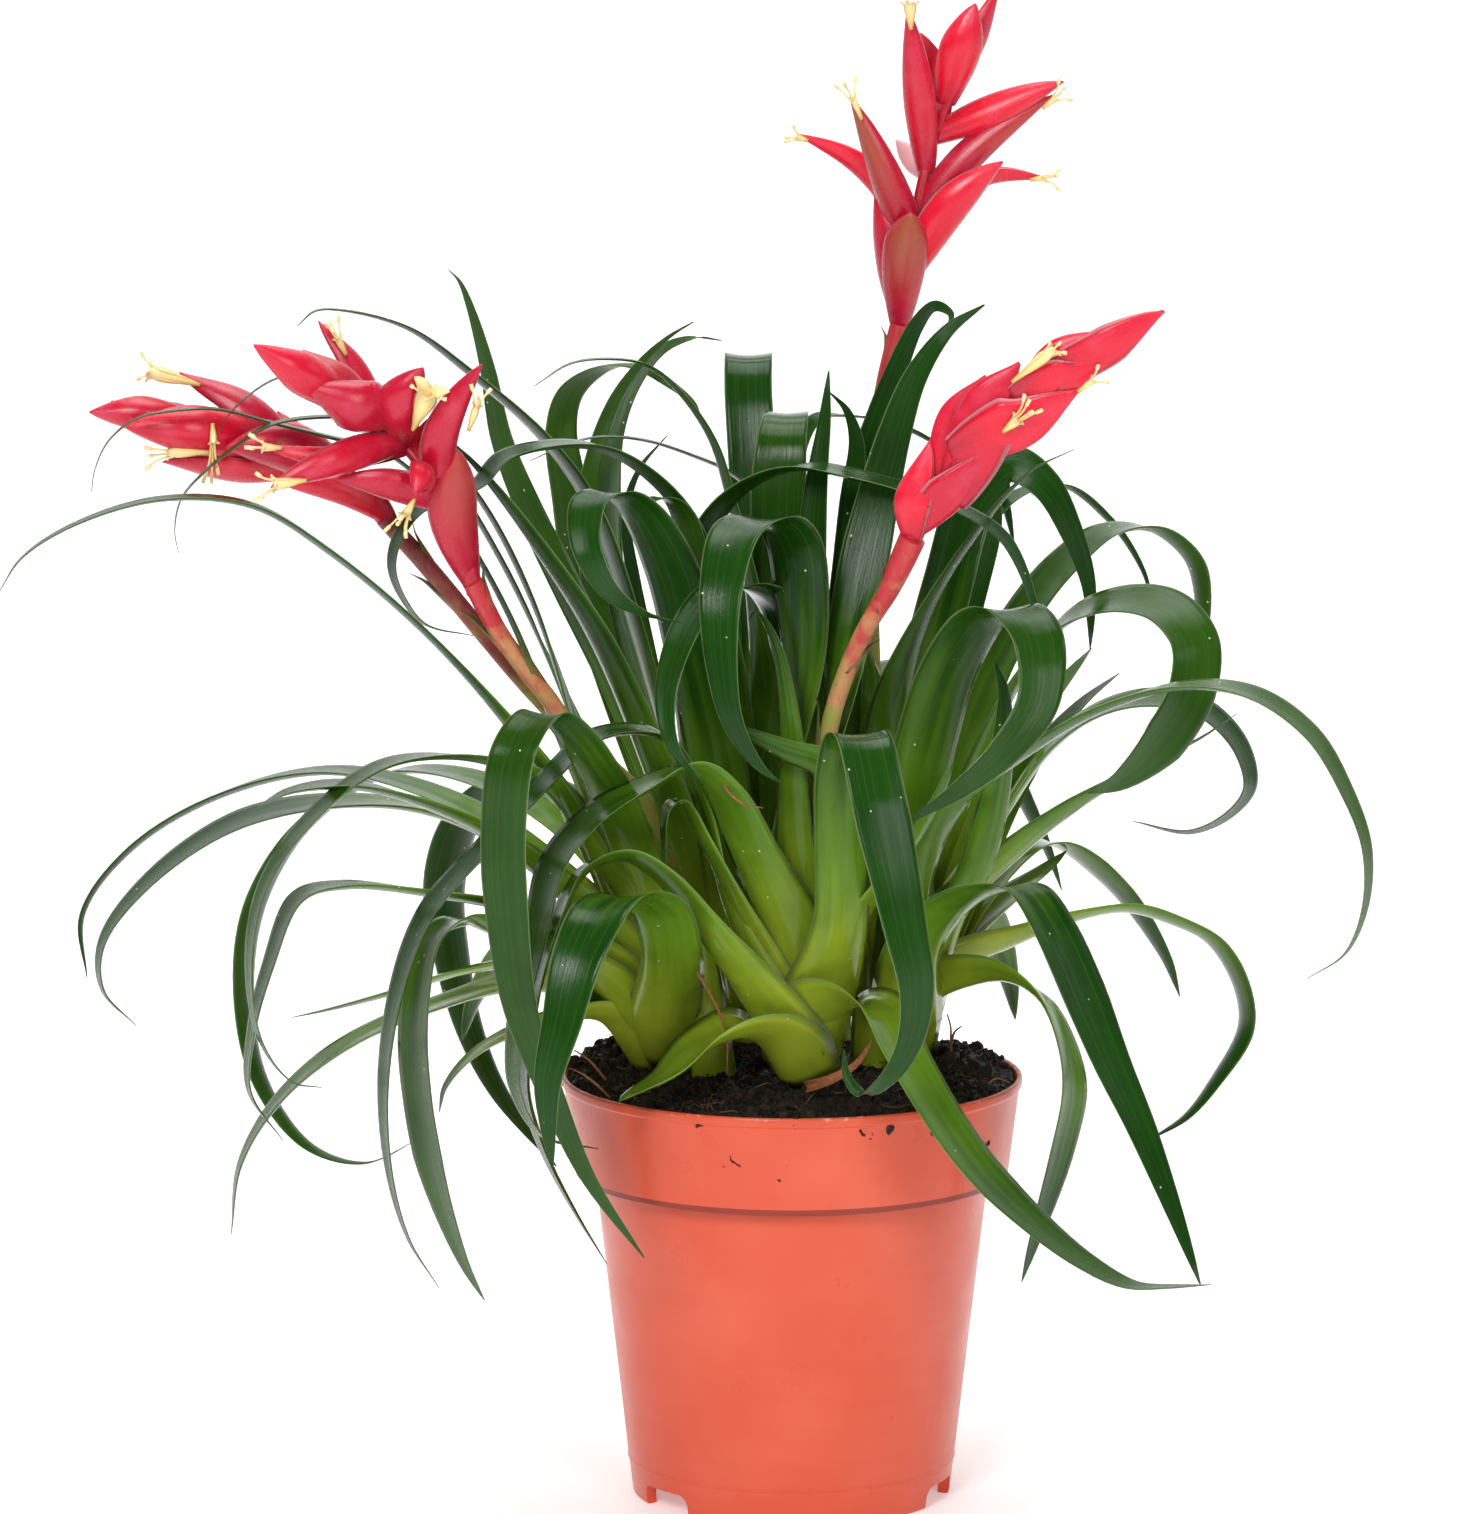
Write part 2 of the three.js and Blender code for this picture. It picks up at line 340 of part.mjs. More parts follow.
// The flowers: the head that each grows on, the foot and the mouth of its tube, the radius of the
// mouth, how many stamens it has and how far they reach.
const FLOWER_RADIUS = 0.9;
const FLOWER_GRAIN = { step: 10, bend: 60 };
const FLOWER_SEED = 7;
const STALK_GRAIN = { step: 60, bend: 9 };
const AXIS_GRAIN = { step: 50, bend: 25 };
const FLOWERS = [
  ["tall", [19.3, 27.5, 386.6], [16.8, 27.5, 392.5], 1, 3, 6],
  ["tall", [4.2, 36, 380.1], [1.4, 36, 381.2], 1, 3, 4],
  ["tall", [70, 32.2, 389.5], [73.6, 32.2, 392.3], 1, 3, 5],
  ["tall", [67, 43.2, 368.7], [71.2, 43.2, 369.2], 1, 3, 5],
  ["tall", [32.9, 25.2, 411.9], [32.6, 25.2, 418.6], 1.9, 2, 3],
  ["sword", [56.7, -61, 308.2], [60.2, -62, 311.3], 1.5, 4, 8],
  ["sword", [59, -63.2, 321.9], [69.7, -64.2, 330.6], 1.9, 2, 4],
  ["sword", [76.7, -64.5, 319.4], [80.7, -65.5, 322.7], 0.9, 2, 4],
  ["near", [-103, -52.8, 307.7], [-98.6, -57.8, 318], 3.4, 3, 2],
  ["near", [-87.8, -54.5, 307.7], [-85.5, -56.5, 314.4], 1.2, 4, 6],
  ["near", [-131.3, -62, 295.1], [-139.3, -64, 294.2], 1.8, 3, 7],
  ["near", [-138.6, -49.8, 302.5], [-143.4, -50.8, 302.8], 1.2, 4, 5],
  ["near", [-122.1, -32.2, 326], [-124.3, -32.2, 330.4], 1.1, 3, 6],
  ["near", [-102.3, -58.8, 289.6], [-104.4, -60.8, 286], 1.4, 4, 7],
  ["far", [-163.9, -11.8, 315.8], [-177.2, -11.8, 319.4], 2.3, 2, 5],
  ["far", [-160.4, -24, 298.5], [-171.4, -24, 298.5], 1.7, 4, 7],
  ["far", [-159.5, -25.5, 306.6], [-159.2, -26.5, 301.7], 1.1, 3, 11],
];

// Colours and surfaces
const POT_PLASTIC = { color: 0xd9603f, roughness: 0.35, metalness: 0 };
const SOIL = { color: 0x2a1c14, roughness: 0.95, metalness: 0 };
const LEAF = { color: 0x3f6b1f, roughness: 0.4, metalness: 0 };
const STALK = { color: 0xb5a04c, roughness: 0.5, metalness: 0 };
const BRACT = { color: 0xd42438, roughness: 0.4, metalness: 0 };
const FLOWER = { color: 0xf0d890, roughness: 0.5, metalness: 0 };

const UP = new THREE.Vector3(0, 0, 1);
const FINE = 120; // steps in which a curve's bends are measured

function seeded(seed) {
  let state = seed;
  return () => {
    state = (state * 16807) % 2147483647;
    return state / 2147483647;
  };
}

function vectors(points) {
  return points.map((p) => new THREE.Vector3(...p));
}

// A closed surface as a solid that can be joined and cut.
function solid(geometry) {
  geometry.deleteAttribute("normal");
  geometry.deleteAttribute("uv");
  const merged = mergeVertices(geometry, 1e-4);
  const mesh = new wasm.Mesh({
    numProp: 3,
    vertProperties: new Float32Array(merged.attributes.position.array),
    triVerts: new Uint32Array(merged.index.array),
  });
  return new wasm.Manifold(mesh);
}

function solidFromFaces(points, faces) {
  const geometry = new THREE.BufferGeometry();
  geometry.setAttribute(
    "position",
    new THREE.Float32BufferAttribute(points.flatMap((p) => [p.x, p.y, p.z]), 3),
  );
  geometry.setIndex(faces.flat());
  return solid(geometry);
}

function revolved(profile, sides) {
  const outline = profile.map(([r, z]) => new THREE.Vector2(r, z));
  return solid(new THREE.LatheGeometry(outline, sides).rotateX(Math.PI / 2));
}

// Rings of equal count joined into a closed body, flat at both ends.
function ringsToSolid(rings) {
  const count = rings[0].length;
  const points = rings.flat();
  const faces = [];
  for (let k = 0; k + 1 < rings.length; k += 1) {
    for (let i = 0; i < count; i += 1) {
      const a = k * count + i;
      const b = k * count + ((i + 1) % count);
      faces.push([a, b, b + count], [a, b + count, a + count]);
    }
  }
  const last = (rings.length - 1) * count;
  for (let i = 1; i + 1 < count; i += 1) {
    faces.push([0, i + 1, i], [last, last + i, last + i + 1]);
  }
  return solidFromFaces(points, faces);
}

// Places along a curve, closer where it bends, each with its direction, the way across and the
// way to the inner side. A place comes after each step of length or each bend, in degrees. If a
// level is given, a blade turns past its sheath until it lies at an angle of turn to that level,
// and it twists on to its tip.
function placesAlong(points, grain, across, level = null, turn = 0, twist = 0) {
  const curve = new THREE.CatmullRomCurve3(points, false, "centripetal");
  const length = curve.getLength();
  const cost = [0];
  for (let i = 1; i <= FINE; i += 1) {
    const [before, after] = [curve.getTangentAt((i - 1) / FINE), curve.getTangentAt(i / FINE)];
    const bend = THREE.MathUtils.radToDeg(before.angleTo(after)) / grain.bend;
    cost.push(cost[i - 1] + bend + length / FINE / grain.step);
  }
  const count = Math.max(2, Math.round(cost[FINE]));
  let side = across.clone();
  const places = Array.from({ length: count + 1 }, (_, k) => {
    const i = k === count ? FINE : cost.findIndex((c) => c >= (cost[FINE] * k) / count);
    const u = i / FINE;
    const along = curve.getTangentAt(u);
    side = side.clone().addScaledVector(along, -side.dot(along)).normalize();
    let angle = THREE.MathUtils.degToRad(twist * u);
    if (level) {
      const swing = Math.atan2(along.dot(side.clone().cross(level)), side.dot(level));
      const past = THREE.MathUtils.smoothstep(u * length, LEVEL_FROM, LEVEL_TO);
      angle += past * (swing + THREE.MathUtils.degToRad(turn));
    }
    const turned = side.clone().applyAxisAngle(along, angle);
    return { u, at: curve.getPointAt(u), along, across: turned, inner: along.clone().cross(turned) };
  });
  return { places, length };
}

// A blade: two edges, a ridge outside and a groove inside. Both faces split along the same lines.
function blade(places, widthAt, foldAt, thickness) {
  const points = [];
  const faces = [];
  places.forEach(({ u, at, across, inner }) => {
    const half = widthAt(u) / 2;
    const rise = 2 * half * foldAt(u);
    const thick = Math.min(thickness, 0.6 + half * 0.35) / 2;
    points.push(
      at.clone().addScaledVector(across, -half).addScaledVector(inner, rise),
      at.clone().addScaledVector(inner, -thick),
      at.clone().addScaledVector(across, half).addScaledVector(inner, rise),
      at.clone().addScaledVector(inner, thick),
    );
  });
  for (let k = 0; k + 1 < places.length; k += 1) {
    const [left, under, right, over] = [0, 1, 2, 3].map((i) => 4 * k + i);
    faces.push(
      [left, under, under + 4], [left, under + 4, left + 4],
      [under, right, under + 4], [right, right + 4, under + 4],
      [right, over, over + 4], [right, over + 4, right + 4],
      [over, left, over + 4], [left, left + 4, over + 4],
    );
  }
  const end = 4 * (places.length - 1);
  faces.push([0, 3, 1], [3, 2, 1], [end, end + 1, end + 3], [end + 1, end + 2, end + 3]);
  return solidFromFaces(points, faces);
}

// A round rod along a curve, thinner or thicker towards its end.
function rod(points, radius, endRadius, sides, grain) {
  const start = points[1].clone().sub(points[0]);
  const across = Math.abs(start.x) > Math.abs(start.y) ? new THREE.Vector3(0, 1, 0)
    : new THREE.Vector3(1, 0, 0);
  const { places } = placesAlong(points, grain, across);
  const rings = places.map(({ u, at, across: side, inner }) => {
    const r = THREE.MathUtils.lerp(radius, endRadius, u);
    return Array.from({ length: sides }, (_, i) => {
      const angle = (2 * Math.PI * i) / sides;
      return at.clone()
        .addScaledVector(side, r * Math.cos(angle))
        .addScaledVector(inner, r * Math.sin(angle));
    });
  });
  return ringsToSolid(rings);
}

function joined(solids) {
  return solids.reduce((sum, next) => sum.add(next));
}

// The largest body alone, with any hollow sealed inside it filled.
function whole(body) {
  return body.decompose().reduce((best, next) => (next.volume() > best.volume() ? next : best));
}

const plant = new THREE.Group();

function addNode(name, body, surface) {
  const { numProp, vertProperties, triVerts } = body.getMesh();
  const positions = new Float32Array((vertProperties.length / numProp) * 3);
  for (let v = 0; v < positions.length / 3; v += 1) {
    positions.set(vertProperties.subarray(v * numProp, v * numProp + 3), v * 3);
  }
  const geometry = new THREE.BufferGeometry();
  geometry.setAttribute("position", new THREE.BufferAttribute(positions, 3));
  geometry.setIndex(new THREE.BufferAttribute(new Uint32Array(triVerts), 1));
  geometry.computeVertexNormals();
  const mesh = new THREE.Mesh(geometry, new THREE.MeshStandardMaterial(surface));
  mesh.name = name;
  plant.add(mesh);
}

// Pot: a tapered cup with a wider collar, on a foot ring with three notches.
function bodyRadius(z) {
  const share = z / (POT_HEIGHT - COLLAR_HEIGHT);
  return THREE.MathUtils.lerp(FOOT_RADIUS, BODY_TOP_RADIUS, share);
}

function notch(turn) {
  const half = NOTCH_WIDTH / 2;
  const outline = new THREE.Shape();
  outline.moveTo(-half, -1);
  outline.lineTo(half, -1);
  outline.lineTo(half, NOTCH_HEIGHT - 3);
  outline.quadraticCurveTo(half, NOTCH_HEIGHT, half - 3, NOTCH_HEIGHT);
  outline.lineTo(3 - half, NOTCH_HEIGHT);
  outline.quadraticCurveTo(-half, NOTCH_HEIGHT, -half, NOTCH_HEIGHT - 3);
  const geometry = new THREE.ExtrudeGeometry(outline, {
    depth: 20, bevelEnabled: false, curveSegments: 3,
  });
  geometry.rotateX(Math.PI / 2);
  geometry.translate(0, -FOOT_RADIUS + 12, 0);
  return solid(geometry.rotateZ(THREE.MathUtils.degToRad(turn)));
}

function pot() {
  const collarFoot = POT_HEIGHT - COLLAR_HEIGHT;
  const profile = [
    [0, FLOOR_UNDERSIDE],
    [bodyRadius(FLOOR_UNDERSIDE) - FOOT_RING_WIDTH, FLOOR_UNDERSIDE],
    [FOOT_RADIUS - FOOT_RING_WIDTH, 0],
    [FOOT_RADIUS, 0],
    [bodyRadius(10), 10],
    [bodyRadius(10) + 0.3, 10.3],
    [BODY_TOP_RADIUS, collarFoot],
    [COLLAR_LOW_RADIUS - 0.7, collarFoot],
    [COLLAR_LOW_RADIUS, collarFoot + 0.8],
    [RIM_RADIUS - 0.5, POT_HEIGHT - 2.4],
    [RIM_RADIUS, POT_HEIGHT - 2],
    [RIM_RADIUS, POT_HEIGHT],
    [RIM_RADIUS - WALL, POT_HEIGHT],
    [COLLAR_LOW_RADIUS - WALL, collarFoot + WALL],
    [BODY_TOP_RADIUS - WALL, collarFoot + WALL - 0.2],
    [bodyRadius(FLOOR_UNDERSIDE + WALL) - WALL, FLOOR_UNDERSIDE + WALL],
    [0, FLOOR_UNDERSIDE + WALL],
  ];
  return NOTCH_TURNS.reduce(
    (body, turn) => body.subtract(notch(turn)),
    revolved(profile, POT_SIDES),
  );
}

// Soil: fills the pot, heaped to the left and the right behind, with a plain hole for each stem.
function soilHeight(x, y, radius) {
  const left = 5.5 * Math.exp(-((x + 47) ** 2 + (y - 24) ** 2) / 500);
  const right = 3.5 * Math.exp(-((x - 46) ** 2 + (y - 20) ** 2) / 400);
  const rise = 2.5 * (1 - (radius / RIM_RADIUS) ** 2);
  return SOIL_EDGE_HEIGHT + left + right + rise;
}

function soil() {
  const random = seeded(5);
  const collarFoot = POT_HEIGHT - COLLAR_HEIGHT;
  const bottom = FLOOR_UNDERSIDE + WALL + SOIL_GAP;
  const sideRings = [
    [bodyRadius(bottom) - WALL - 2 * SOIL_GAP, bottom],
    [BODY_TOP_RADIUS - WALL - 2 * SOIL_GAP, collarFoot + WALL],
    [COLLAR_LOW_RADIUS - WALL - 2 * SOIL_GAP, collarFoot + WALL + 1],
  ];
  const topRadii = [RIM_RADIUS - WALL - 1.2, 55, 46, 36, 25, 12];
  const rings = sideRings.map(([radius, z]) => ring(radius, () => z));
  topRadii.forEach((radius, k) => {
    rings.push(ring(radius, (x, y) => {
      const lump = k === 0 ? 0.4 : SOIL_LUMP;
      return soilHeight(x, y, radius) + lump * (2 * random() - 1);
    }));
  });
  let body = ringsToSolid(rings);
  Object.values(ROSETTES).forEach((centre) => {
    body = body.subtract(cylinder(centre, STEM_RADIUS + SOIL_GAP, STEM_FOOT - SOIL_GAP, 150));
  });
  return body;
}

function ring(radius, heightAt) {
  return Array.from({ length: SOIL_SIDES }, (_, i) => {
    const angle = (2 * Math.PI * i) / SOIL_SIDES;
    const x = radius * Math.cos(angle);
    const y = radius * Math.sin(angle);
    return new THREE.Vector3(x, y, heightAt(x, y));
  });
}

function cylinder(centre, radius, from, to) {
  const geometry = new THREE.CylinderGeometry(radius, radius, to - from, 14);
  geometry.rotateX(Math.PI / 2);
  return solid(geometry.translate(centre.x, centre.y, (from + to) / 2));
}

// A leaf grows out of its stem as a wide sheath, narrows to a strap and then to its tip.
function leaf(centre, start, sheathWidth, { width, turn, twist, tip, points }) {
  const outward = bearingOf(centre, points);
  const root = centre.clone().setZ(start).addScaledVector(outward, STEM_RADIUS - 1.5);
  const across = UP.clone().cross(outward);
  const path = [root, ...points];
  const level = UP.clone().cross(farthestFrom(root, points)).normalize();
  const { places, length } = placesAlong(path, LEAF_GRAIN, across, level, turn, twist);
  const sheath = sheathWidth * Math.min(1, width / 15);
  const widthAt = (u) => {
    const along = u * length;
    const strap = THREE.MathUtils.lerp(sheath, width, Math.min(1, along / SHEATH_LENGTH));
    const narrowRoot = THREE.MathUtils.lerp(ROOT_SHARE, 1, Math.min(1, along / 22));
    return Math.max(1.2, strap * narrowRoot * Math.min(1, ((1 - u) / tip) ** TIP_POWER));
  };
  const foldAt = (u) => 0.1 + 0.08 * Math.max(0, 1 - (u * length) / SHEATH_LENGTH);
  return blade(places, widthAt, foldAt, LEAF_THICKNESS);
}

// The way to the point that lies farthest out.
function farthestFrom(root, points) {
  const ways = points.map((point) => point.clone().sub(root));
  return ways.reduce((best, way) => (Math.hypot(way.x, way.y) > Math.hypot(best.x, best.y) ? way : best));
}

function bearingOf(centre, points) {
  return points[0].clone().sub(centre).setZ(0).normalize();
}

// The steeper a leaf leaves the stem, the higher its root sits, so that leaves don't cross there.
function steepness(centre, { points }) {
  const from = points[0].clone().sub(centre);
  return Math.atan2(from.z - LEAF_START, Math.hypot(from.x, from.y));
}

// A leaf by rule rises along its bearing, arches over and hangs.
function farLeaf(centre, [, bearing, reach, rise]) {
  const angle = THREE.MathUtils.degToRad(bearing);
  const points = [0.22, 0.45, 0.7, 0.9, 1].map((t) => {
    const out = reach * Math.min(t, 0.35 + 0.6 * t);
    const height = rise * Math.sin(Math.PI * Math.min(t, 0.62 + 0.2 * t)) - 30 * t ** 4;
    return new THREE.Vector3(
      centre.x + out * Math.cos(angle),
      centre.y + out * Math.sin(angle),
      LEAF_START + 6 + height,
    );
  });
  return { width: FAR_LEAF_WIDTH, turn: 0, twist: 0, tip: FAR_LEAF_TIP, points };
}

function stemCore(centre) {
  const profile = [
    [0, STEM_FOOT], [STEM_RADIUS, STEM_FOOT], [STEM_RADIUS, STEM_TOP - 6], [4, STEM_TOP], [0, STEM_TOP],
  ];
  return revolved(profile, 12).translate([centre.x, centre.y, 0]);
}

function rosette(name) {
  const centre = ROSETTES[name];
  const drawn = LEAVES[name].map(([width, turn, twist, tip, ...points]) => {
    return { width, turn, twist, tip, points: vectors(points) };
  });
  const far = FAR_LEAVES.filter(([owner]) => owner === name);
  const all = [...drawn, ...far.map((row) => farLeaf(centre, row))];
  all.sort((a, b) => steepness(centre, a) - steepness(centre, b));
  const leaves = all.map((shape, i) =>
    leaf(centre, LEAF_START + (LEAF_RISE * i) / all.length, SHEATH_WIDTHS[name], shape));
  return whole(joined([stemCore(centre), ...leaves]));
}

// Bracts: pointed ovals folded along the keel, which grow from the axis of their head.
function bractPlaces(axis, [share, , , , outward, ...points]) {
  const base = new THREE.CatmullRomCurve3(axis, false, "centripetal").getPointAt(share);
  const path = [base, ...vectors(points)];
  const along = path[1].clone().sub(base).normalize();
  const across = new THREE.Vector3(...outward).negate().cross(along).normalize();
  return placesAlong(path, BRACT_GRAIN, across).places;
}

function bract(axis, row) {
  const [, width, fold, peak] = row;
  const widthAt = (u) => {
    const swell = u < peak ? 0.15 + (0.35 * u) / peak : 0.5 + (0.5 * (u - peak)) / (1 - peak);
    return Math.max(1, width * Math.sin(Math.PI * swell) ** 0.8);
  };
  return blade(bractPlaces(axis, row), widthAt, () => fold, BRACT_THICKNESS);
}

// A stalk rises out of its stem and ends in a socket in the foot of its head.
function stalkPath(name) {
  const { rosette: owner, axis } = HEADS[name];
  const centre = ROSETTES[owner];
  const curve = new THREE.CatmullRomCurve3(vectors(axis), false, "centripetal");
  const end = curve.getPointAt(STALK_SOCKET / curve.getLength());
  const foot = [centre.clone().setZ(STEM_TOP - 12), centre.clone().setZ(STEM_TOP + 4)];
  return [...foot, ...vectors(STALKS[name]), end];
}

// The room that a stalk takes, with a gap all round it and past its end.
function stalkRoom(path) {
  const points = path.map((point) => point.clone());
  const [before, end] = points.slice(-2);
  points[0].z -= STALK_GAP;
  end.addScaledVector(end.clone().sub(before).normalize(), STALK_GAP);
  return rod(points, STALK_RADIUS + STALK_GAP, STALK_TOP_RADIUS + STALK_GAP, 8, STALK_GRAIN);
}

// A flower beside its bract: a tube that widens to its mouth, then stamens that spread from it.
function flower([, foot, mouth, flare, stamens, reach], random) {
  const [base, end] = vectors([foot, mouth]);
  const along = end.clone().sub(base).normalize();
  const side = along.clone().cross(new THREE.Vector3(0, 1, 0)).normalize();
  const front = side.clone().cross(along);
  const body = rod([base, base.clone().lerp(end, 0.5), end], FLOWER_RADIUS, flare, 6, FLOWER_GRAIN);
  const spreads = Array.from({ length: stamens }, (_, i) => {
    const angle = (2 * Math.PI * (i + random())) / stamens;
    const sideways = side.clone().multiplyScalar(Math.cos(angle))
      .addScaledVector(front, Math.sin(angle));
    const root = end.clone().addScaledVector(along, -1.2).addScaledVector(sideways, 0.5 * flare);
    const bend = root.clone().addScaledVector(along, 0.6 * reach).addScaledVector(sideways, 1.2);
    const tip = root.clone().addScaledVector(along, reach * (0.9 + 0.3 * random()))
      .addScaledVector(sideways, 2.5 + 1.5 * random());
    return rod([root, bend, tip], 0.6, 0.5, 3, FLOWER_GRAIN);
  });
  return joined([body, ...spreads]);
}

const stalkPaths = Object.fromEntries(Object.keys(HEADS).map((name) => [name, stalkPath(name)]));
const rooms = Object.fromEntries(Object.keys(HEADS).map((name) =>
  [name, stalkRoom(stalkPaths[name])]));

addNode("pot", pot(), POT_PLASTIC);
addNode("soil", soil(), SOIL);

Object.keys(ROSETTES).forEach((name) => {
  const passing = Object.keys(HEADS).filter((head) => HEADS[head].rosette === name);
  const body = passing.reduce((rest, head) => rest.subtract(rooms[head]), rosette(name));
  addNode(`rosette_${name}`, body, LEAF);
});

Object.entries(stalkPaths).forEach(([name, path]) => {
  addNode(`stalk_${name}`, rod(path, STALK_RADIUS, STALK_TOP_RADIUS, 8, STALK_GRAIN), STALK);
});

Object.entries(HEADS).forEach(([name, { axis, core: [width, depth], bracts }]) => {
  const line = vectors(axis);
  const { places } = placesAlong(line, AXIS_GRAIN, new THREE.Vector3(1, 0, 0.3));
  const core = blade(places, (u) => width * (1 - 0.6 * u), () => 0, depth);
  const blades = bracts.map((row) => bract(line, row));
  addNode(`bracts_${name}`, whole(joined([core, ...blades]).subtract(rooms[name])), BRACT);
});

const flowerRandom = seeded(FLOWER_SEED);
FLOWERS.forEach((row, i) => {
  addNode(`flower_${row[0]}_${i}`, flower(row, flowerRandom), FLOWER);
});

const middle = new THREE.Box3().setFromObject(plant).getCenter(new THREE.Vector3());
plant.children.forEach((mesh) => mesh.geometry.translate(-middle.x, -middle.y, 0));

export default plant;
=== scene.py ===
"""A potted bromeliad in flower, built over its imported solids.

Points and sizes in the tables are millimetres from the pot's axis; the scene is in metres, +Z is
up, the pot stands on z = 0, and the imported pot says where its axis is.
"""
import bisect
import math

import bmesh
import bpy
from mathutils import Matrix, Vector, noise


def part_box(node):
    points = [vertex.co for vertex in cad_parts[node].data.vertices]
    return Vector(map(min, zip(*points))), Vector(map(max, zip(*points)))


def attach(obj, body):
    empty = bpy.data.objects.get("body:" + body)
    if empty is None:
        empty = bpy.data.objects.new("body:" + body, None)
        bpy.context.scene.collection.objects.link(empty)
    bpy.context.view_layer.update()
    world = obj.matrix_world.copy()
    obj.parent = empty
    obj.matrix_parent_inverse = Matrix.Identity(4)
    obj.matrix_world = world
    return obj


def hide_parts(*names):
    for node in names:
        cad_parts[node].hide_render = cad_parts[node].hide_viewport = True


bl_info = {
    "name": "Potted bromeliad",
    "version": (1, 0, 0),
    "blender": (4, 5, 0),
    "location": "View3D > Sidebar > Bromeliad",
    "description": "Builds a potted bromeliad with four flower heads, piece by piece",
    "category": "Add Mesh",
}

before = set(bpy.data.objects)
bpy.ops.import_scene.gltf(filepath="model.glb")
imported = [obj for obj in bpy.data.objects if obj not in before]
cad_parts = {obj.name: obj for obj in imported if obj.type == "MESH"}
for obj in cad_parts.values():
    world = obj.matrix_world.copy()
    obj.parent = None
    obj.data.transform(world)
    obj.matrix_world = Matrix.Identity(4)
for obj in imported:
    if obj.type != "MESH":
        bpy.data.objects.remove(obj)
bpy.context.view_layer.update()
MM = 0.001
UP = Vector((0, 0, 1))
POT_LOW, POT_HIGH = (Vector(painted_collar_shadow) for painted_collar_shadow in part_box("pot"))
POT_AXIS = Vector(((POT_LOW.x + POT_HIGH.x) / 2, (POT_LOW.y + POT_HIGH.y) / 2, 0.0))

# Where each short stem stands, and how wide the leaves clasp it
STEM_RADIUS = 8
STEM_TOP = 152
LEAF_START = 121.5
LEAF_RISE = 26
ROSETTES = {"front": (4, -22, 0), "left": (-38, 0, 0), "right": (32, 10, 0), "back": (-12, 29, 0)}
SHEATH_WIDTHS = {"front": 25, "left": 20, "right": 19, "back": 16}
SHEATH_LENGTH = 60
LEVEL_FROM = 30
LEVEL_TO = 130

# Leaf forms: a blade under STRAP_WIDTH has a narrower sheath, a blade is darkest from FULL_GREEN on,
# and one unit of a blade's uv is BLADE_UNIT long.
BLADE_UNIT = 100
ROOT_INSET = 1.5
ROOT_SHARE = 0.85
ROOT_LENGTH = 16
SHEATH_BREADTH = 1.25
STRAP_WIDTH = 15
LEAST_LEAF_WIDTH = 0.5
SHEATH_HOLLOW = 0.28
BLADE_HOLLOW = 0.1
FULL_GREEN = 170
TIP_POWER = 0.7
FAR_LEAF_TIP = 0.38
FAR_LEAF_WIDTH = 15
FAR_LEAF_LIFT = 6
FAR_LEAF_DROOP = 30

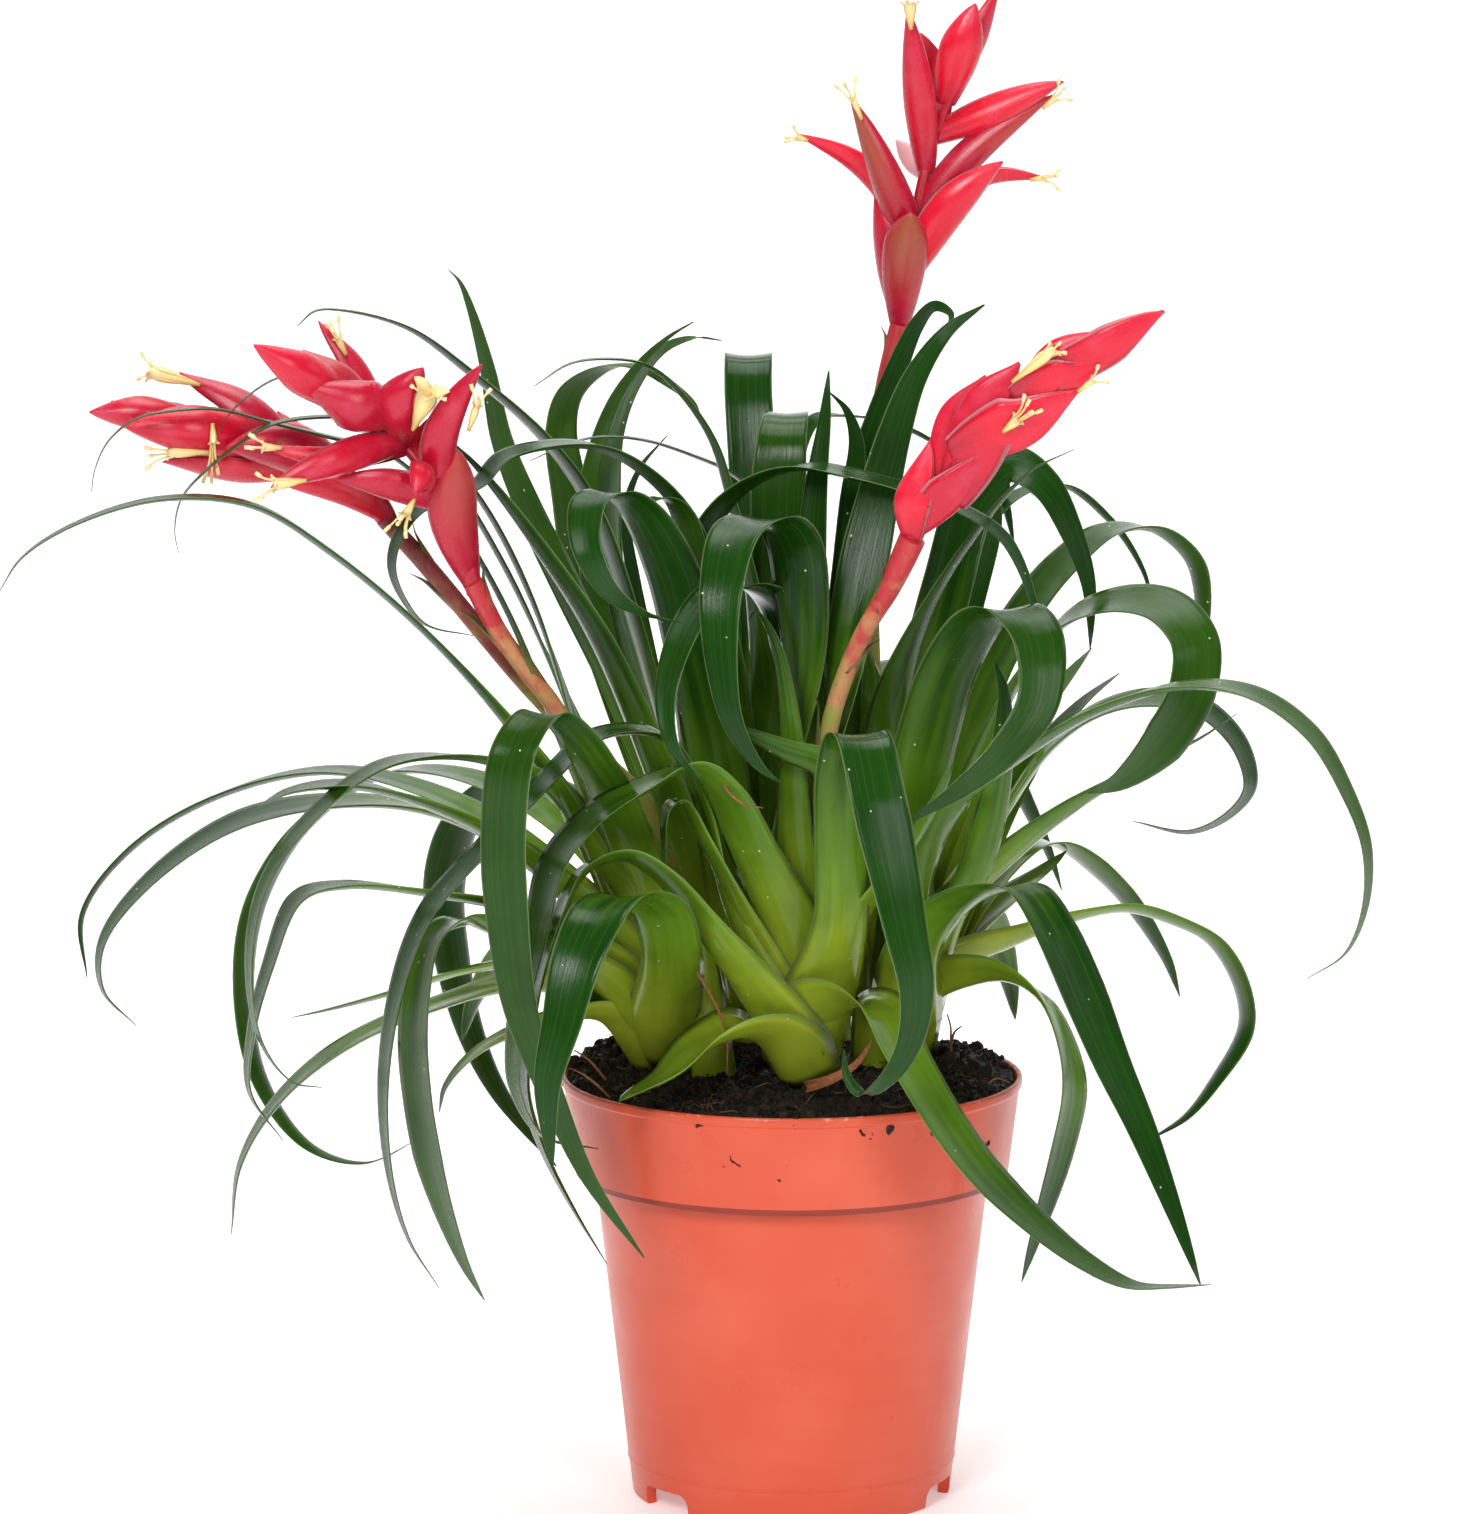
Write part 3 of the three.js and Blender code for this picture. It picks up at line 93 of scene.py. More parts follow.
# Leaves: blade width, how far the blade turns from level past its sheath and how far it twists on
# to its tip, in degrees, over what share of its length it narrows to its tip, then the points that
# the middle of the blade runs through, from near the sheath to the tip.
LEAVES = {
    "front": [
        [15, 0, 0, 0.38, [-19, -26, 174], [-26, -32, 203], [-36, -37, 221], [-53, -43, 222],
            [-66, -47, 211], [-83, -51, 193], [-99, -54, 175], [-107, -61, 155], [-111, -63, 130],
            [-110, -62, 105], [-105, -60, 85], [-97, -58, 71]],
        [18, 0, 0, 0.38, [-3, -36, 167], [-12, -44, 191], [-20, -52, 208], [-28, -56, 215],
            [-40, -58, 210], [-54, -56, 201], [-64, -58, 189], [-68, -62, 173], [-72, -66, 157],
            [-75, -65, 142], [-75, -64, 128], [-68, -63, 115], [-53, -62, 111]],
        [18, 0, 0, 0.38, [-12, -37, 148], [-24, -41, 167], [-36, -42, 182], [-46, -42, 188],
            [-56, -43, 185], [-63, -44, 173], [-69, -44, 156], [-72, -44, 139], [-73, -44, 124],
            [-68, -46, 107], [-60, -48, 91], [-51, -50, 76]],
        [16, 0, 0, 0.38, [14, -46, 169], [14, -56, 193], [14, -66, 214], [16, -76, 226],
            [19, -90, 228], [22, -98, 216], [26, -102, 198], [30, -104, 179], [33, -104, 163],
            [31, -102, 148], [25, -100, 138], [19, -98, 134], [15, -96, 138], [14, -95, 145]],
        [13, 0, 0, 0.75, [1, -34, 175], [0, -38, 204], [-1, -39, 226], [-4, -40, 245], [-7, -42, 253],
            [-10, -45, 257], [-12, -47, 255]],
        [17, 0, 0, 0.38, [0, -18, 178], [1, -22, 218], [2, -24, 252], [0, -28, 273], [-6, -38, 281],
            [-15, -50, 279], [-19, -60, 265], [-19, -64, 246], [-16, -66, 230], [-9, -66, 218],
            [-3, -66, 213]],
        [13, 0, 0, 0.38, [-16, -30, 172], [-25, -34, 192], [-31, -35, 203], [-34, -36, 201],
            [-35, -36, 190], [-34, -36, 180]],
        [15, 0, 0, 0.38, [-7, -34, 134], [-14, -40, 138], [-24, -46, 136], [-33, -54, 130],
            [-42, -62, 127], [-47, -70, 126]],
        [18, 0, 0, 0.38, [9, -34, 141], [17, -44, 148], [24, -54, 147], [30, -66, 138],
            [39, -77, 124], [50, -86, 110], [63, -92, 98], [78, -96, 87], [91, -98, 81], [103, -99, 81],
            [113, -100, 82]],
        [12, 0, 0, 0.38, [4, -11, 186], [4, -9, 228], [5, -8, 261], [7, -5, 289], [9, -3, 305],
            [10, -3, 319]],
        [14, 0, 0, 0.38, [11, 3, 183], [14, 3, 226], [16, 3, 254], [17, 3, 282], [18, 3, 299],
            [15, 1, 308], [10, 0, 313]],
        [14, 60, 0, 0.38, [9, -24, 188], [14, -24, 230], [18, -18, 257], [23, -12, 281],
            [28, -10, 301], [34, -10, 318], [43, -10, 331], [53, -9, 338]],
        [16, 0, 0, 0.38, [-1, 4, 183], [-1, 4, 226], [-3, -5, 250], [-12, -24, 261], [-22, -45, 261],
            [-30, -59, 251], [-34, -67, 236], [-32, -71, 224], [-24, -70, 213]],
        [14, 0, 0, 0.38, [15, -27, 157], [23, -40, 176], [32, -56, 193], [40, -60, 208],
            [44, -62, 219]],
        [11, 60, 0, 0.38, [14, -37, 168], [16, -42, 188], [15, -45, 205], [9, -47, 215],
            [-1, -48, 219], [-10, -48, 223], [-19, -47, 227]],
    ],
    "left": [
        [12, 0, 0, 0.38, [-54, -14, 138], [-70, -20, 137], [-87, -26, 131], [-96, -30, 122],
            [-98, -32, 115]],
        [15, 0, 0, 0.38, [-54, -2, 140], [-76, -6, 145], [-99, -12, 141], [-124, -18, 131],
            [-143, -21, 116], [-154, -22, 98], [-157, -22, 78]],
        [15, 0, 0, 0.38, [-54, 10, 143], [-72, 20, 147], [-92, 32, 143], [-116, 44, 134],
            [-134, 52, 128], [-145, 56, 125]],
        [14, 0, 0, 0.38, [-55, 20, 157], [-78, 30, 180], [-104, 40, 193], [-133, 48, 198],
            [-165, 54, 190], [-191, 56, 174], [-205, 56, 155], [-204, 54, 137]],
        [18, 0, -12, 0.38, [-51, -6, 159], [-73, -8, 180], [-98, -8, 194], [-123, -10, 198],
            [-154, -14, 193], [-179, -18, 177], [-192, -20, 160], [-192, -20, 147], [-183, -20, 137]],
        [17, 0, 0, 0.2, [-56, -24, 167], [-78, -30, 189], [-103, -34, 202], [-122, -36, 207],
            [-138, -38, 206], [-147, -38, 202]],
        [12, 0, 0, 0.38, [-45, -22, 173], [-52, -22, 184], [-59, -23, 196], [-67, -25, 205],
            [-75, -28, 210], [-94, -34, 215], [-113, -40, 213], [-132, -44, 199], [-145, -46, 180],
            [-149, -46, 158], [-146, -45, 137], [-138, -44, 126], [-130, -42, 124]],
        [15, 0, 0, 0.38, [-54, -14, 156], [-76, -20, 169], [-100, -26, 175], [-124, -30, 178],
            [-136, -33, 175], [-144, -35, 157], [-149, -37, 139], [-150, -38, 122], [-141, -38, 108]],
        [13, 0, 0, 0.38, [-51, 32, 170], [-78, 50, 190], [-114, 68, 195], [-141, 78, 178],
            [-156, 82, 154], [-160, 82, 130], [-156, 80, 103], [-142, 78, 83], [-125, 76, 78],
            [-110, 74, 85]],
        [15, 0, 0, 0.38, [-48, 50, 167], [-67, 70, 187], [-84, 84, 189], [-97, 94, 175],
            [-102, 100, 155], [-100, 102, 134], [-95, 104, 112], [-87, 104, 94], [-70, 104, 71]],
        [13, 0, 0, 0.38, [-51, -18, 175], [-64, -24, 202], [-81, -28, 226], [-102, -32, 250],
            [-127, -36, 272], [-148, -38, 285], [-173, -40, 287], [-197, -42, 280], [-211, -43, 271],
            [-217, -44, 262]],
        [17, 0, 0, 0.22, [-53, -22, 148], [-69, -27, 159], [-82, -32, 166], [-92, -38, 170],
            [-99, -43, 165], [-102, -46, 152], [-103, -46, 138], [-102, -43, 121], [-99, -44, 104],
            [-95, -45, 89], [-90, -46, 75], [-85, -47, 65]],
        [13, 0, 0, 0.25, [-53, -22, 155], [-70, -24, 163], [-87, -28, 168], [-97, -32, 166],
            [-106, -34, 163]],
        [14, 0, 0, 0.38, [-39, -22, 165], [-43, -25, 183], [-49, -40, 203], [-54, -58, 216],
            [-60, -70, 227], [-67, -78, 233], [-74, -86, 225], [-77, -86, 203], [-76, -86, 179],
            [-73, -86, 156], [-65, -85, 132], [-55, -84, 108], [-40, -82, 85]],
        [17, 0, 0, 0.38, [-33, -44, 160], [-37, -66, 178], [-45, -82, 184], [-51, -94, 182],
            [-57, -102, 171], [-61, -106, 155], [-65, -107, 139], [-65, -107, 126], [-64, -106, 115]],
        [8, 0, 0, 0.38, [-48, -4, 170], [-65, -10, 216], [-81, -14, 256], [-98, -15, 284],
            [-113, -18, 298], [-126, -23, 302], [-143, -29, 307], [-157, -32, 311], [-168, -34, 311],
            [-179, -35, 309], [-187, -36, 303], [-191, -36, 295], [-192, -36, 289]],
        [8, 0, 0, 0.38, [-48, 6, 174], [-60, 2, 215], [-73, -4, 255], [-87, -12, 284],
            [-100, -20, 300], [-115, -27, 307], [-129, -33, 309], [-143, -35, 307], [-151, -34, 302],
            [-161, -31, 294], [-168, -29, 286], [-170, -28, 277], [-169, -28, 271]],
        [7, 0, 0, 0.38, [-46, 20, 175], [-62, 24, 217], [-82, 10, 264], [-101, -4, 297],
            [-117, -18, 315], [-130, -24, 321], [-142, -28, 319], [-150, -29, 314], [-155, -29, 309],
            [-158, -29, 304]],
    ],
    "right": [
        [14, 0, 0, 0.38, [33, -28, 180], [43, -42, 201], [62, -55, 218], [83, -62, 232],
            [105, -65, 239], [124, -65, 237], [140, -63, 226], [150, -60, 210], [156, -58, 194],
            [156, -56, 177], [151, -54, 164], [141, -53, 157]],
        [14, 0, 0, 0.38, [44, -10, 166], [61, -16, 185], [77, -20, 198], [96, -22, 210],
            [113, -23, 219], [123, -23, 226]],
        [17, 0, 35, 0.12, [40, 4, 169], [51, 2, 203], [64, 0, 232], [77, -4, 249], [91, -11, 255],
            [103, -18, 254], [110, -26, 246], [109, -32, 234], [101, -38, 221], [90, -42, 211],
            [81, -44, 207]],
        [17, 0, 0, 0.38, [42, 34, 169], [50, 48, 208], [63, 62, 235], [77, 72, 253], [92, 78, 264],
            [105, 82, 264], [116, 84, 255], [119, 86, 242], [118, 86, 230], [114, 86, 217]],
        [16, 55, 0, 0.38, [31, 22, 177], [37, 26, 223], [45, 32, 256], [52, 36, 278], [62, 34, 288],
            [71, 30, 283], [78, 26, 271], [83, 23, 257], [84, 21, 246], [84, 20, 238]],
        [8, 0, 0, 0.38, [35, 54, 189], [46, 76, 239], [60, 92, 269], [78, 102, 275], [93, 108, 264],
            [103, 112, 249], [107, 114, 236]],
        [13, 0, 0, 0.38, [25, -4, 184], [27, -7, 222], [38, -11, 253], [52, -12, 276], [66, -12, 292],
            [78, -10, 298]],
        [18, 0, 0, 0.38, [30, -17, 181], [36, -26, 213], [44, -34, 240], [53, -44, 255],
            [60, -54, 258], [66, -62, 252], [66, -68, 236], [57, -72, 223], [45, -74, 213],
            [30, -74, 203]],
        [17, 0, 0, 0.38, [37, -8, 142], [48, -14, 149], [59, -20, 151], [69, -26, 146],
            [75, -30, 134], [77, -33, 122], [74, -35, 105], [70, -36, 90], [66, -36, 76], [64, -36, 68]],
        [17, 0, 0, 0.38, [45, 8, 147], [62, 14, 154], [79, 20, 160], [95, 26, 162], [108, 30, 158],
            [120, 34, 151], [128, 36, 137], [129, 36, 126], [121, 36, 111], [113, 34, 101],
            [102, 32, 94]],
        [17, 0, 0, 0.38, [34, -34, 161], [43, -48, 175], [54, -58, 182], [63, -66, 183],
            [70, -72, 174], [78, -77, 157], [86, -80, 138], [94, -82, 121], [103, -83, 99],
            [111, -84, 78]],
        [14, 0, 0, 0.38, [48, 22, 151], [62, 34, 164], [73, 44, 171], [79, 52, 175]],
        [16, 0, 20, 0.38, [46, 8, 167], [60, 9, 192], [73, 10, 211], [86, 9, 221], [100, 6, 225],
            [114, 2, 223], [124, -2, 214], [127, -6, 203], [122, -8, 196], [111, -10, 191],
            [95, -12, 194]],
        [14, 0, 0, 0.38, [47, 21, 172], [59, 32, 202], [74, 46, 220], [86, 58, 233]],
        [10, 0, 0, 0.38, [54, 34, 172], [68, 52, 199], [83, 66, 215], [95, 78, 223]],
        [10, 0, 0, 0.38, [34, 42, 177], [43, 58, 218], [52, 72, 245], [58, 84, 264], [59, 92, 275],
            [62, 98, 270], [65, 102, 257]],
        [11, 0, 0, 0.38, [43, -20, 165], [51, -29, 183], [56, -36, 204], [58, -40, 221],
            [58, -42, 235], [55, -44, 244]],
        [14, 70, 0, 0.38, [21, 14, 181], [20, 21, 223], [19, 24, 254], [20, 24, 283], [25, 22, 303],
            [30, 19, 318], [35, 15, 330], [40, 8, 336], [44, 5, 334], [43, 3, 330]],
    ],
    "back": [
        [17, 0, 0, 0.38, [-26, 26, 176], [-37, 22, 214], [-47, 16, 250], [-57, 10, 279],
            [-70, 4, 299], [-90, -2, 318], [-107, -6, 331], [-124, -8, 336], [-132, -9, 336],
            [-137, -10, 332]],
        [15, 0, 0, 0.38, [-32, 46, 176], [-50, 56, 218], [-66, 64, 249], [-77, 72, 271],
            [-85, 78, 291], [-89, 84, 311], [-94, 88, 329], [-97, 90, 336], [-100, 92, 339]],
        [17, 0, 0, 0.38, [-29, 8, 180], [-43, -2, 218], [-56, -10, 247], [-70, -16, 270],
            [-81, -20, 286], [-89, -22, 296], [-97, -24, 304]],
        [15, 0, 0, 0.38, [-16, 14, 181], [-18, 10, 225], [-23, 4, 257], [-31, -6, 279],
            [-42, -14, 292], [-54, -20, 299], [-68, -26, 300], [-79, -28, 297], [-86, -28, 290],
            [-96, -26, 286], [-104, -25, 281], [-109, -24, 273], [-110, -24, 266], [-107, -25, 258],
            [-101, -26, 251], [-88, -27, 248]],
        [9, 0, 0, 0.38, [-9, 46, 176], [-5, 51, 219], [-3, 51, 248], [-6, 48, 271], [-16, 43, 284],
            [-29, 37, 291], [-43, 31, 296], [-57, 26, 297], [-67, 24, 294], [-74, 22, 291]],
        [10, 0, 0, 0.38, [-10, 24, 180], [-8, 25, 223], [-12, 25, 254], [-18, 23, 280],
            [-23, 20, 297], [-32, 16, 311], [-41, 12, 319], [-51, 9, 321], [-62, 6, 320], [-72, 4, 314]],
        [8, 0, 0, 0.38, [-35, 56, 174], [-50, 68, 216], [-58, 78, 247], [-60, 86, 270],
            [-58, 92, 285], [-52, 96, 301], [-44, 98, 312], [-36, 100, 319], [-29, 102, 323]],
        [9, 0, 0, 0.38, [-30, 63, 173], [-44, 82, 214], [-53, 94, 245], [-54, 102, 271],
            [-52, 108, 291], [-46, 112, 305], [-38, 114, 314], [-29, 116, 317], [-21, 118, 316]],
        [15, 0, 0, 0.38, [-33, 70, 172], [-48, 94, 207], [-60, 112, 240], [-66, 122, 268],
            [-69, 126, 289], [-66, 127, 300], [-57, 126, 307], [-45, 124, 308], [-36, 122, 303],
            [-29, 120, 297], [-27, 119, 292]],
        [8, 0, 0, 0.38, [-29, 36, 178], [-39, 44, 220], [-46, 50, 254], [-48, 54, 273],
            [-44, 58, 285], [-36, 62, 294]],
        [16, 0, 0, 0.38, [-19, 14, 173], [-25, 6, 208], [-28, -2, 241], [-28, -10, 264],
            [-31, -18, 281], [-36, -26, 286], [-42, -32, 284], [-46, -34, 280]],
        [18, 0, 0, 0.38, [-17, 2, 175], [-22, -10, 211], [-28, -22, 241], [-34, -34, 267],
            [-42, -44, 284], [-49, -52, 290], [-55, -60, 288], [-55, -66, 277], [-49, -68, 266],
            [-40, -68, 260], [-30, -66, 257]],
        [14, 0, 0, 0.1, [-12, 60, 174], [-9, 73, 216], [-10, 82, 255], [-12, 88, 287], [-13, 94, 304],
            [-13, 100, 311], [-13, 110, 312], [-14, 122, 309], [-14, 136, 303]],
        [16, 0, 0, 0.38, [-6, 34, 178], [-4, 37, 221], [-4, 38, 255], [-4, 38, 281], [-3, 41, 295],
            [-2, 48, 300], [-2, 61, 300], [-3, 76, 296], [-4, 92, 287], [-4, 102, 274]],
        [9, 0, 0, 0.38, [0, 70, 172], [-1, 90, 213], [-1, 104, 253], [1, 112, 281], [7, 114, 293],
            [17, 114, 294], [29, 114, 292], [42, 112, 286], [54, 110, 276]],
        [14, 0, 0, 0.38, [-19, 34, 178], [-25, 29, 222], [-27, 18, 252], [-23, 7, 273],
            [-13, -4, 286], [2, -15, 293], [19, -22, 291], [32, -26, 288], [46, -28, 283],
            [58, -28, 275], [66, -28, 258], [67, -28, 249], [65, -28, 243]],
    ],
}

# Leaves on the far side, by rule: rosette, bearing in degrees, reach and rise.
FAR_LEAVES = [
    ["back", 46, 140, 100],
    ["back", 64, 135, 38],
    ["back", 82, 110, 28],
    ["back", 99, 130, 26],
    ["right", 44, 120, 52],
    ["right", 70, 105, 34],
    ["left", 92, 95, 24],
    ["left", 126, 105, 30],
]

# Stalks: the points from above the stem to below the lowest bract.
STALKS = {
    "sword": [[6, -24, 174], [7, -29, 203], [11, -35, 227], [15, -38, 240], [20, -42, 252],
        [26, -46, 263]],
    "near": [[-43, -8, 171], [-54, -17, 206], [-66, -24, 228], [-73, -28, 238], [-81, -32, 250]],
    "far": [[-26, 27, 165], [-43, 21, 195], [-60, 13, 213], [-74, 6, 229], [-87, -2, 246],
        [-101, -7, 264]],
    "tall": [[26, 26, 179], [23, 34, 221], [22, 38, 261], [23, 38, 292], [26, 35, 310]],
}

# How wide each stalk is at its top, against its foot
STALK_SWELLINGS = {"sword": 1.5, "near": 1.15, "far": 1.05, "tall": 1.25}

# Flower heads: rosette, axis, axis width and depth, and bracts. A bract: where it grows along the
# axis, width, depth of fold against width, where along it it is widest, the side its keel faces,
# middle and tip.
HEADS = {
    "tall": {
        "rosette": "right",
        "axis": [[30, 34, 325], [32, 35, 340], [34, 35, 352], [36, 36, 366], [39, 37, 378],
            [42, 37, 387], [46, 37, 397]],
        "core": [5, 3.6],
        "bracts": [
            [0, 14, 0.45, 0.72, [0, -1, 0], [31, 27, 342], [33, 24, 361]],
            [0, 14, 0.45, 0.62, [-0.9, -0.5, 0], [25, 35, 344], [23, 36, 365]],
            [0.29, 12, 0.45, 0.3, [-0.6, -0.8, 0], [25, 30, 367], [16, 29, 393]],
            [0.36, 10, 0.5, 0.3, [-0.4, -0.6, -0.7], [18, 39, 371], [1, 38, 382]],
            [0.17, 14, 0.55, 0.55, [0.6, -0.6, -0.5], [46, 29, 358], [59, 28, 375]],
            [0.37, 11, 0.6, 0.42, [0.4, -0.6, -0.5], [51, 35, 373], [73, 36, 393]],
            [0.75, 11, 0.6, 0.42, [0.2, -0.8, -0.5], [57, 34, 386], [76, 33, 397]],
            [0.81, 9, 0.5, 0.5, [0.4, 0.5, 0.6], [49, 46, 389], [57, 50, 389]],
            [0.37, 8, 0.6, 0.5, [0.2, 0, -1], [54, 44, 367], [72, 46, 369]],
            [0.62, 10, 0.4, 0.4, [-0.4, -1, 0], [34, 30, 394], [32, 28, 418]],
            [0.84, 10, 0.3, 0.5, [-0.3, 1, 0], [39, 44, 397], [36, 46, 410]],
            [0.9, 13, 0.4, 0.55, [0.3, -1, 0], [48, 31, 405], [51, 31, 419]],
            [0.93, 11, 0.4, 0.5, [0.9, -0.2, 0], [53, 41, 406], [58, 41, 423]],
            [0.62, 8, 0.35, 0.6, [-0.9, 0.3, 0.3], [32, 42, 374], [29, 44, 380]],
        ],
    },
    "sword": {
        "rosette": "front",
        "axis": [[31, -50, 275], [39, -53, 290], [51, -56, 307], [69, -59, 322], [85, -61, 332]],
        "core": [5.5, 3.2],
        "bracts": [
            [0, 8, 1.25, 0.45, [-0.85, 0, 0.5], [28, -52, 289], [37, -53, 305]],
            [0.02, 7.4, 1.5, 0.5, [0.7, 0, -0.7], [46, -54, 288], [53, -57, 302]],
            [0.12, 5, 1.8, 0.5, [-0.7, 0, 0.7], [40, -52, 313], [52, -54, 323]],
            [0.2, 6.8, 2.5, 0.5, [-0.6, 0, 0.8], [47, -56, 318], [61, -58, 327]],
            [0.33, 6, 2.6, 0.45, [0.65, 0, -0.75], [65, -58, 305], [77, -61, 319]],
            [0.55, 5.4, 2.1, 0.5, [-0.35, 0, 0.95], [69, -59, 332], [85, -61, 336]],
            [0.62, 4.8, 2.1, 0.45, [0.65, 0, -0.75], [77, -60, 320], [85, -62, 327]],
            [0.77, 4.5, 2.2, 0.5, [0.5, 0, -0.85], [87, -62, 328], [100, -63, 341]],
            [0.82, 4, 2.1, 0.5, [-0.3, 0, 0.95], [86, -61, 336], [98, -62, 340]],
        ],
    },
    "near": {
        "rosette": "left",
        "axis": [[-87, -36, 261], [-91, -40, 276], [-96, -40, 288], [-102, -39, 297], [-107, -38, 303],
            [-111, -40, 308], [-121, -43, 315]],
        "core": [5, 3.6],
        "bracts": [
            [0.02, 15, 0.4, 0.66, [0.3, -1, 0], [-91, -46, 282], [-91, -49, 302]],
            [0.37, 12, 0.6, 0.45, [0.7, -0.7, 0], [-92, -52, 305], [-84, -56, 326]],
            [0.52, 12, 0.35, 0.55, [0.3, 0.9, 0.2], [-98, -33, 301], [-98, -32, 310]],
            [0.37, 13, 0.5, 0.45, [-0.2, -0.5, -0.8], [-107, -47, 288], [-124, -50, 294]],
            [0.67, 12, 0.55, 0.45, [-0.2, -0.8, -0.5], [-122, -56, 297], [-141, -62, 293]],
            [0.69, 8, 0.55, 0.45, [-0.1, -0.3, 0.9], [-126, -47, 302], [-144, -48, 303]],
            [0.78, 18, 0.45, 0.45, [0.1, -1, -0.4], [-117, -56, 311], [-131, -58, 320]],
            [0.82, 13, 0.55, 0.5, [-0.4, 0, -0.9], [-129, -43, 314], [-144, -44, 327]],
            [0.81, 13, 0.55, 0.5, [0.3, -0.2, 0.9], [-120, -46, 323], [-133, -47, 329]],
            [0.93, 13, 0.5, 0.5, [-0.1, -1, 0.2], [-132, -62, 324], [-145, -65, 332]],
            [0.74, 11, 0.6, 0.45, [0.5, 0.2, 0.7], [-118, -29, 324], [-130, -27, 335]],
            [0.68, 15, 0.5, 0.6, [0.2, -0.9, 0.3], [-104, -53, 313], [-100, -55, 325]],
            [0.49, 10, 0.5, 0.6, [0.1, -0.9, 0.3], [-98, -55, 296], [-102, -60, 291]],
        ],
    },
    "far": {
        "rosette": "back",
        "axis": [[-111, -9, 276], [-123, -11, 288], [-138, -12, 297], [-157, -14, 304], [-175, -15, 307]],
        "core": [5, 3.6],
        "bracts": [
            [0, 13, 0.6, 0.5, [-0.2, -0.3, -0.9], [-124, -14, 283], [-140, -15, 288]],
            [0.12, 14, 0.45, 0.5, [0.1, 0, 1], [-128, -8, 298], [-143, -6, 308]],
            [0.23, 16, 0.45, 0.5, [-0.1, -1, -0.2], [-139, -22, 297], [-156, -24, 300]],
            [0.36, 14, 0.5, 0.5, [0.1, 0, 1], [-149, -9, 312], [-170, -8, 319]],
            [0.32, 14, 0.5, 0.55, [-0.1, 0, -1], [-153, -10, 289], [-175, -8, 294]],
            [0.56, 15, 0.45, 0.5, [0, -1, 0], [-164, -26, 304], [-184, -27, 306]],
            [0.65, 12, 0.45, 0.5, [0, 0, 1], [-170, -10, 310], [-189, -8, 311]],
            [0.85, 11, 0.5, 0.5, [0, -1, 0.2], [-179, -20, 309], [-194, -19, 309]],
        ],
    },
}

# Bracts that look unlike the rest: 1 is olive brown along the keel, 2 is a pale bud.
BRACT_SHADES = {("tall", 0): 1.0, ("tall", 2): 0.9, ("tall", 5): 0.7, ("tall", 13): 2.0,
                ("near", 0): 0.75, ("near", 8): 0.7}

# Small bracts that clasp the stalks: stalk, where along it, side in degrees, length and width
STALK_BRACTS = [
    ("near", 0.93, 165, 13, 5.5), ("near", 0.84, 20, 17, 5.5), ("near", 0.74, 190, 20, 6),
    ("far", 0.9, 175, 13, 5), ("far", 0.82, 10, 16, 5.5), ("far", 0.72, 170, 19, 5.5),
    ("sword", 0.7, 175, 12, 7), ("sword", 0.84, 5, 13, 7), ("sword", 0.52, 10, 18, 7),
    ("tall", 0.95, 10, 8, 5),
]

# Short inner leaves that stand between the rosettes: width, then points
INNER_LEAVES = [
    [15, [-22, -12, 118], [-24, -12, 140], [-26, -12, 166]],
    [13, [22, 2, 118], [22, 2, 141], [20, 3, 168]],
]

# Dry bits: a withered sheath at the foot of the front rosette, and thin twigs
WITHERED = [[4, -42, 124], [11, -45, 127], [18, -47, 132], [22, -49, 139]]
TWIGS = [
    [[-26, -40, 156], [-23, -41, 151], [-20, -41, 145], [-18, -40, 138], [-18, -38, 127]],
    [[-20, -55, 213], [-17, -58, 209], [-13, -59, 206], [-8, -58, 205]],
    [[46, 10, 118], [45, 10, 126], [45, 11, 131], [44, 10, 135]],
    [[45, 10, 126], [46, 9, 130], [48, 8, 132]],
    [[-49, -30, 117], [-55, -29, 123], [-59, -30, 126], [-62, -29, 127]],
    [[-52, -12, 120], [-57, -12, 126], [-61, -13, 129]],
    [[52, -20, 117], [57, -18, 122], [61, -19, 121]],
]

# Stalks: how far one starts below its stem's top, how far it rises straight from there, and how far
# it reaches into its head
STALK_SINK = 12
STALK_RISE = 4
STALK_REACH = 3.5

# Bract forms: how wide a bract's foot is, 0.5 being its full width, in the lowest two and in the
# rest, and how far the heads at left lean to crimson.
LOW_BRACT_FOOT = 0.07
BRACT_FOOT = 0.15
DUSK = {"near": 0.14, "far": 0.14}

# Pot: the collar, the body's top, the foot ring's groove and the notches in the foot
COLLAR_HEIGHT = 28
COLLAR_FOOT_RADIUS = 61.1
BODY_TOP_RADIUS = 55.8
FLOOR_HEIGHT = 6.5
GROOVE_HEIGHT = 10
NOTCH_WIDTH = 19
NOTCH_HEIGHT = 6
NOTCH_CORNER = 3
NOTCH_TURNS = (-52, 69, 189)
POT_SIDES = 160
POT_SHARP = 30

# Soil: its height at the rim, its crown, its outline below, and heaps as height, x, y and spread.
# Its lumps fade by half over CALM_WIDTH, out to CALM_RADIUS.
SOIL_EDGE = 118.3
CALM_RADIUS = 62
CALM_WIDTH = 10
SOIL_CROWN = 2.5
SOIL_RADIUS = 62.3
SOIL_SIDES = 150
SOIL_FOOT = [(0.0, 8.4), (44.3, 8.4), (53.5, 93.6), (58.7, 94.6)]
HEAPS = [(5.5, -47, 24, 500), (3.5, 46, 20, 400)]
FIBRES = 110

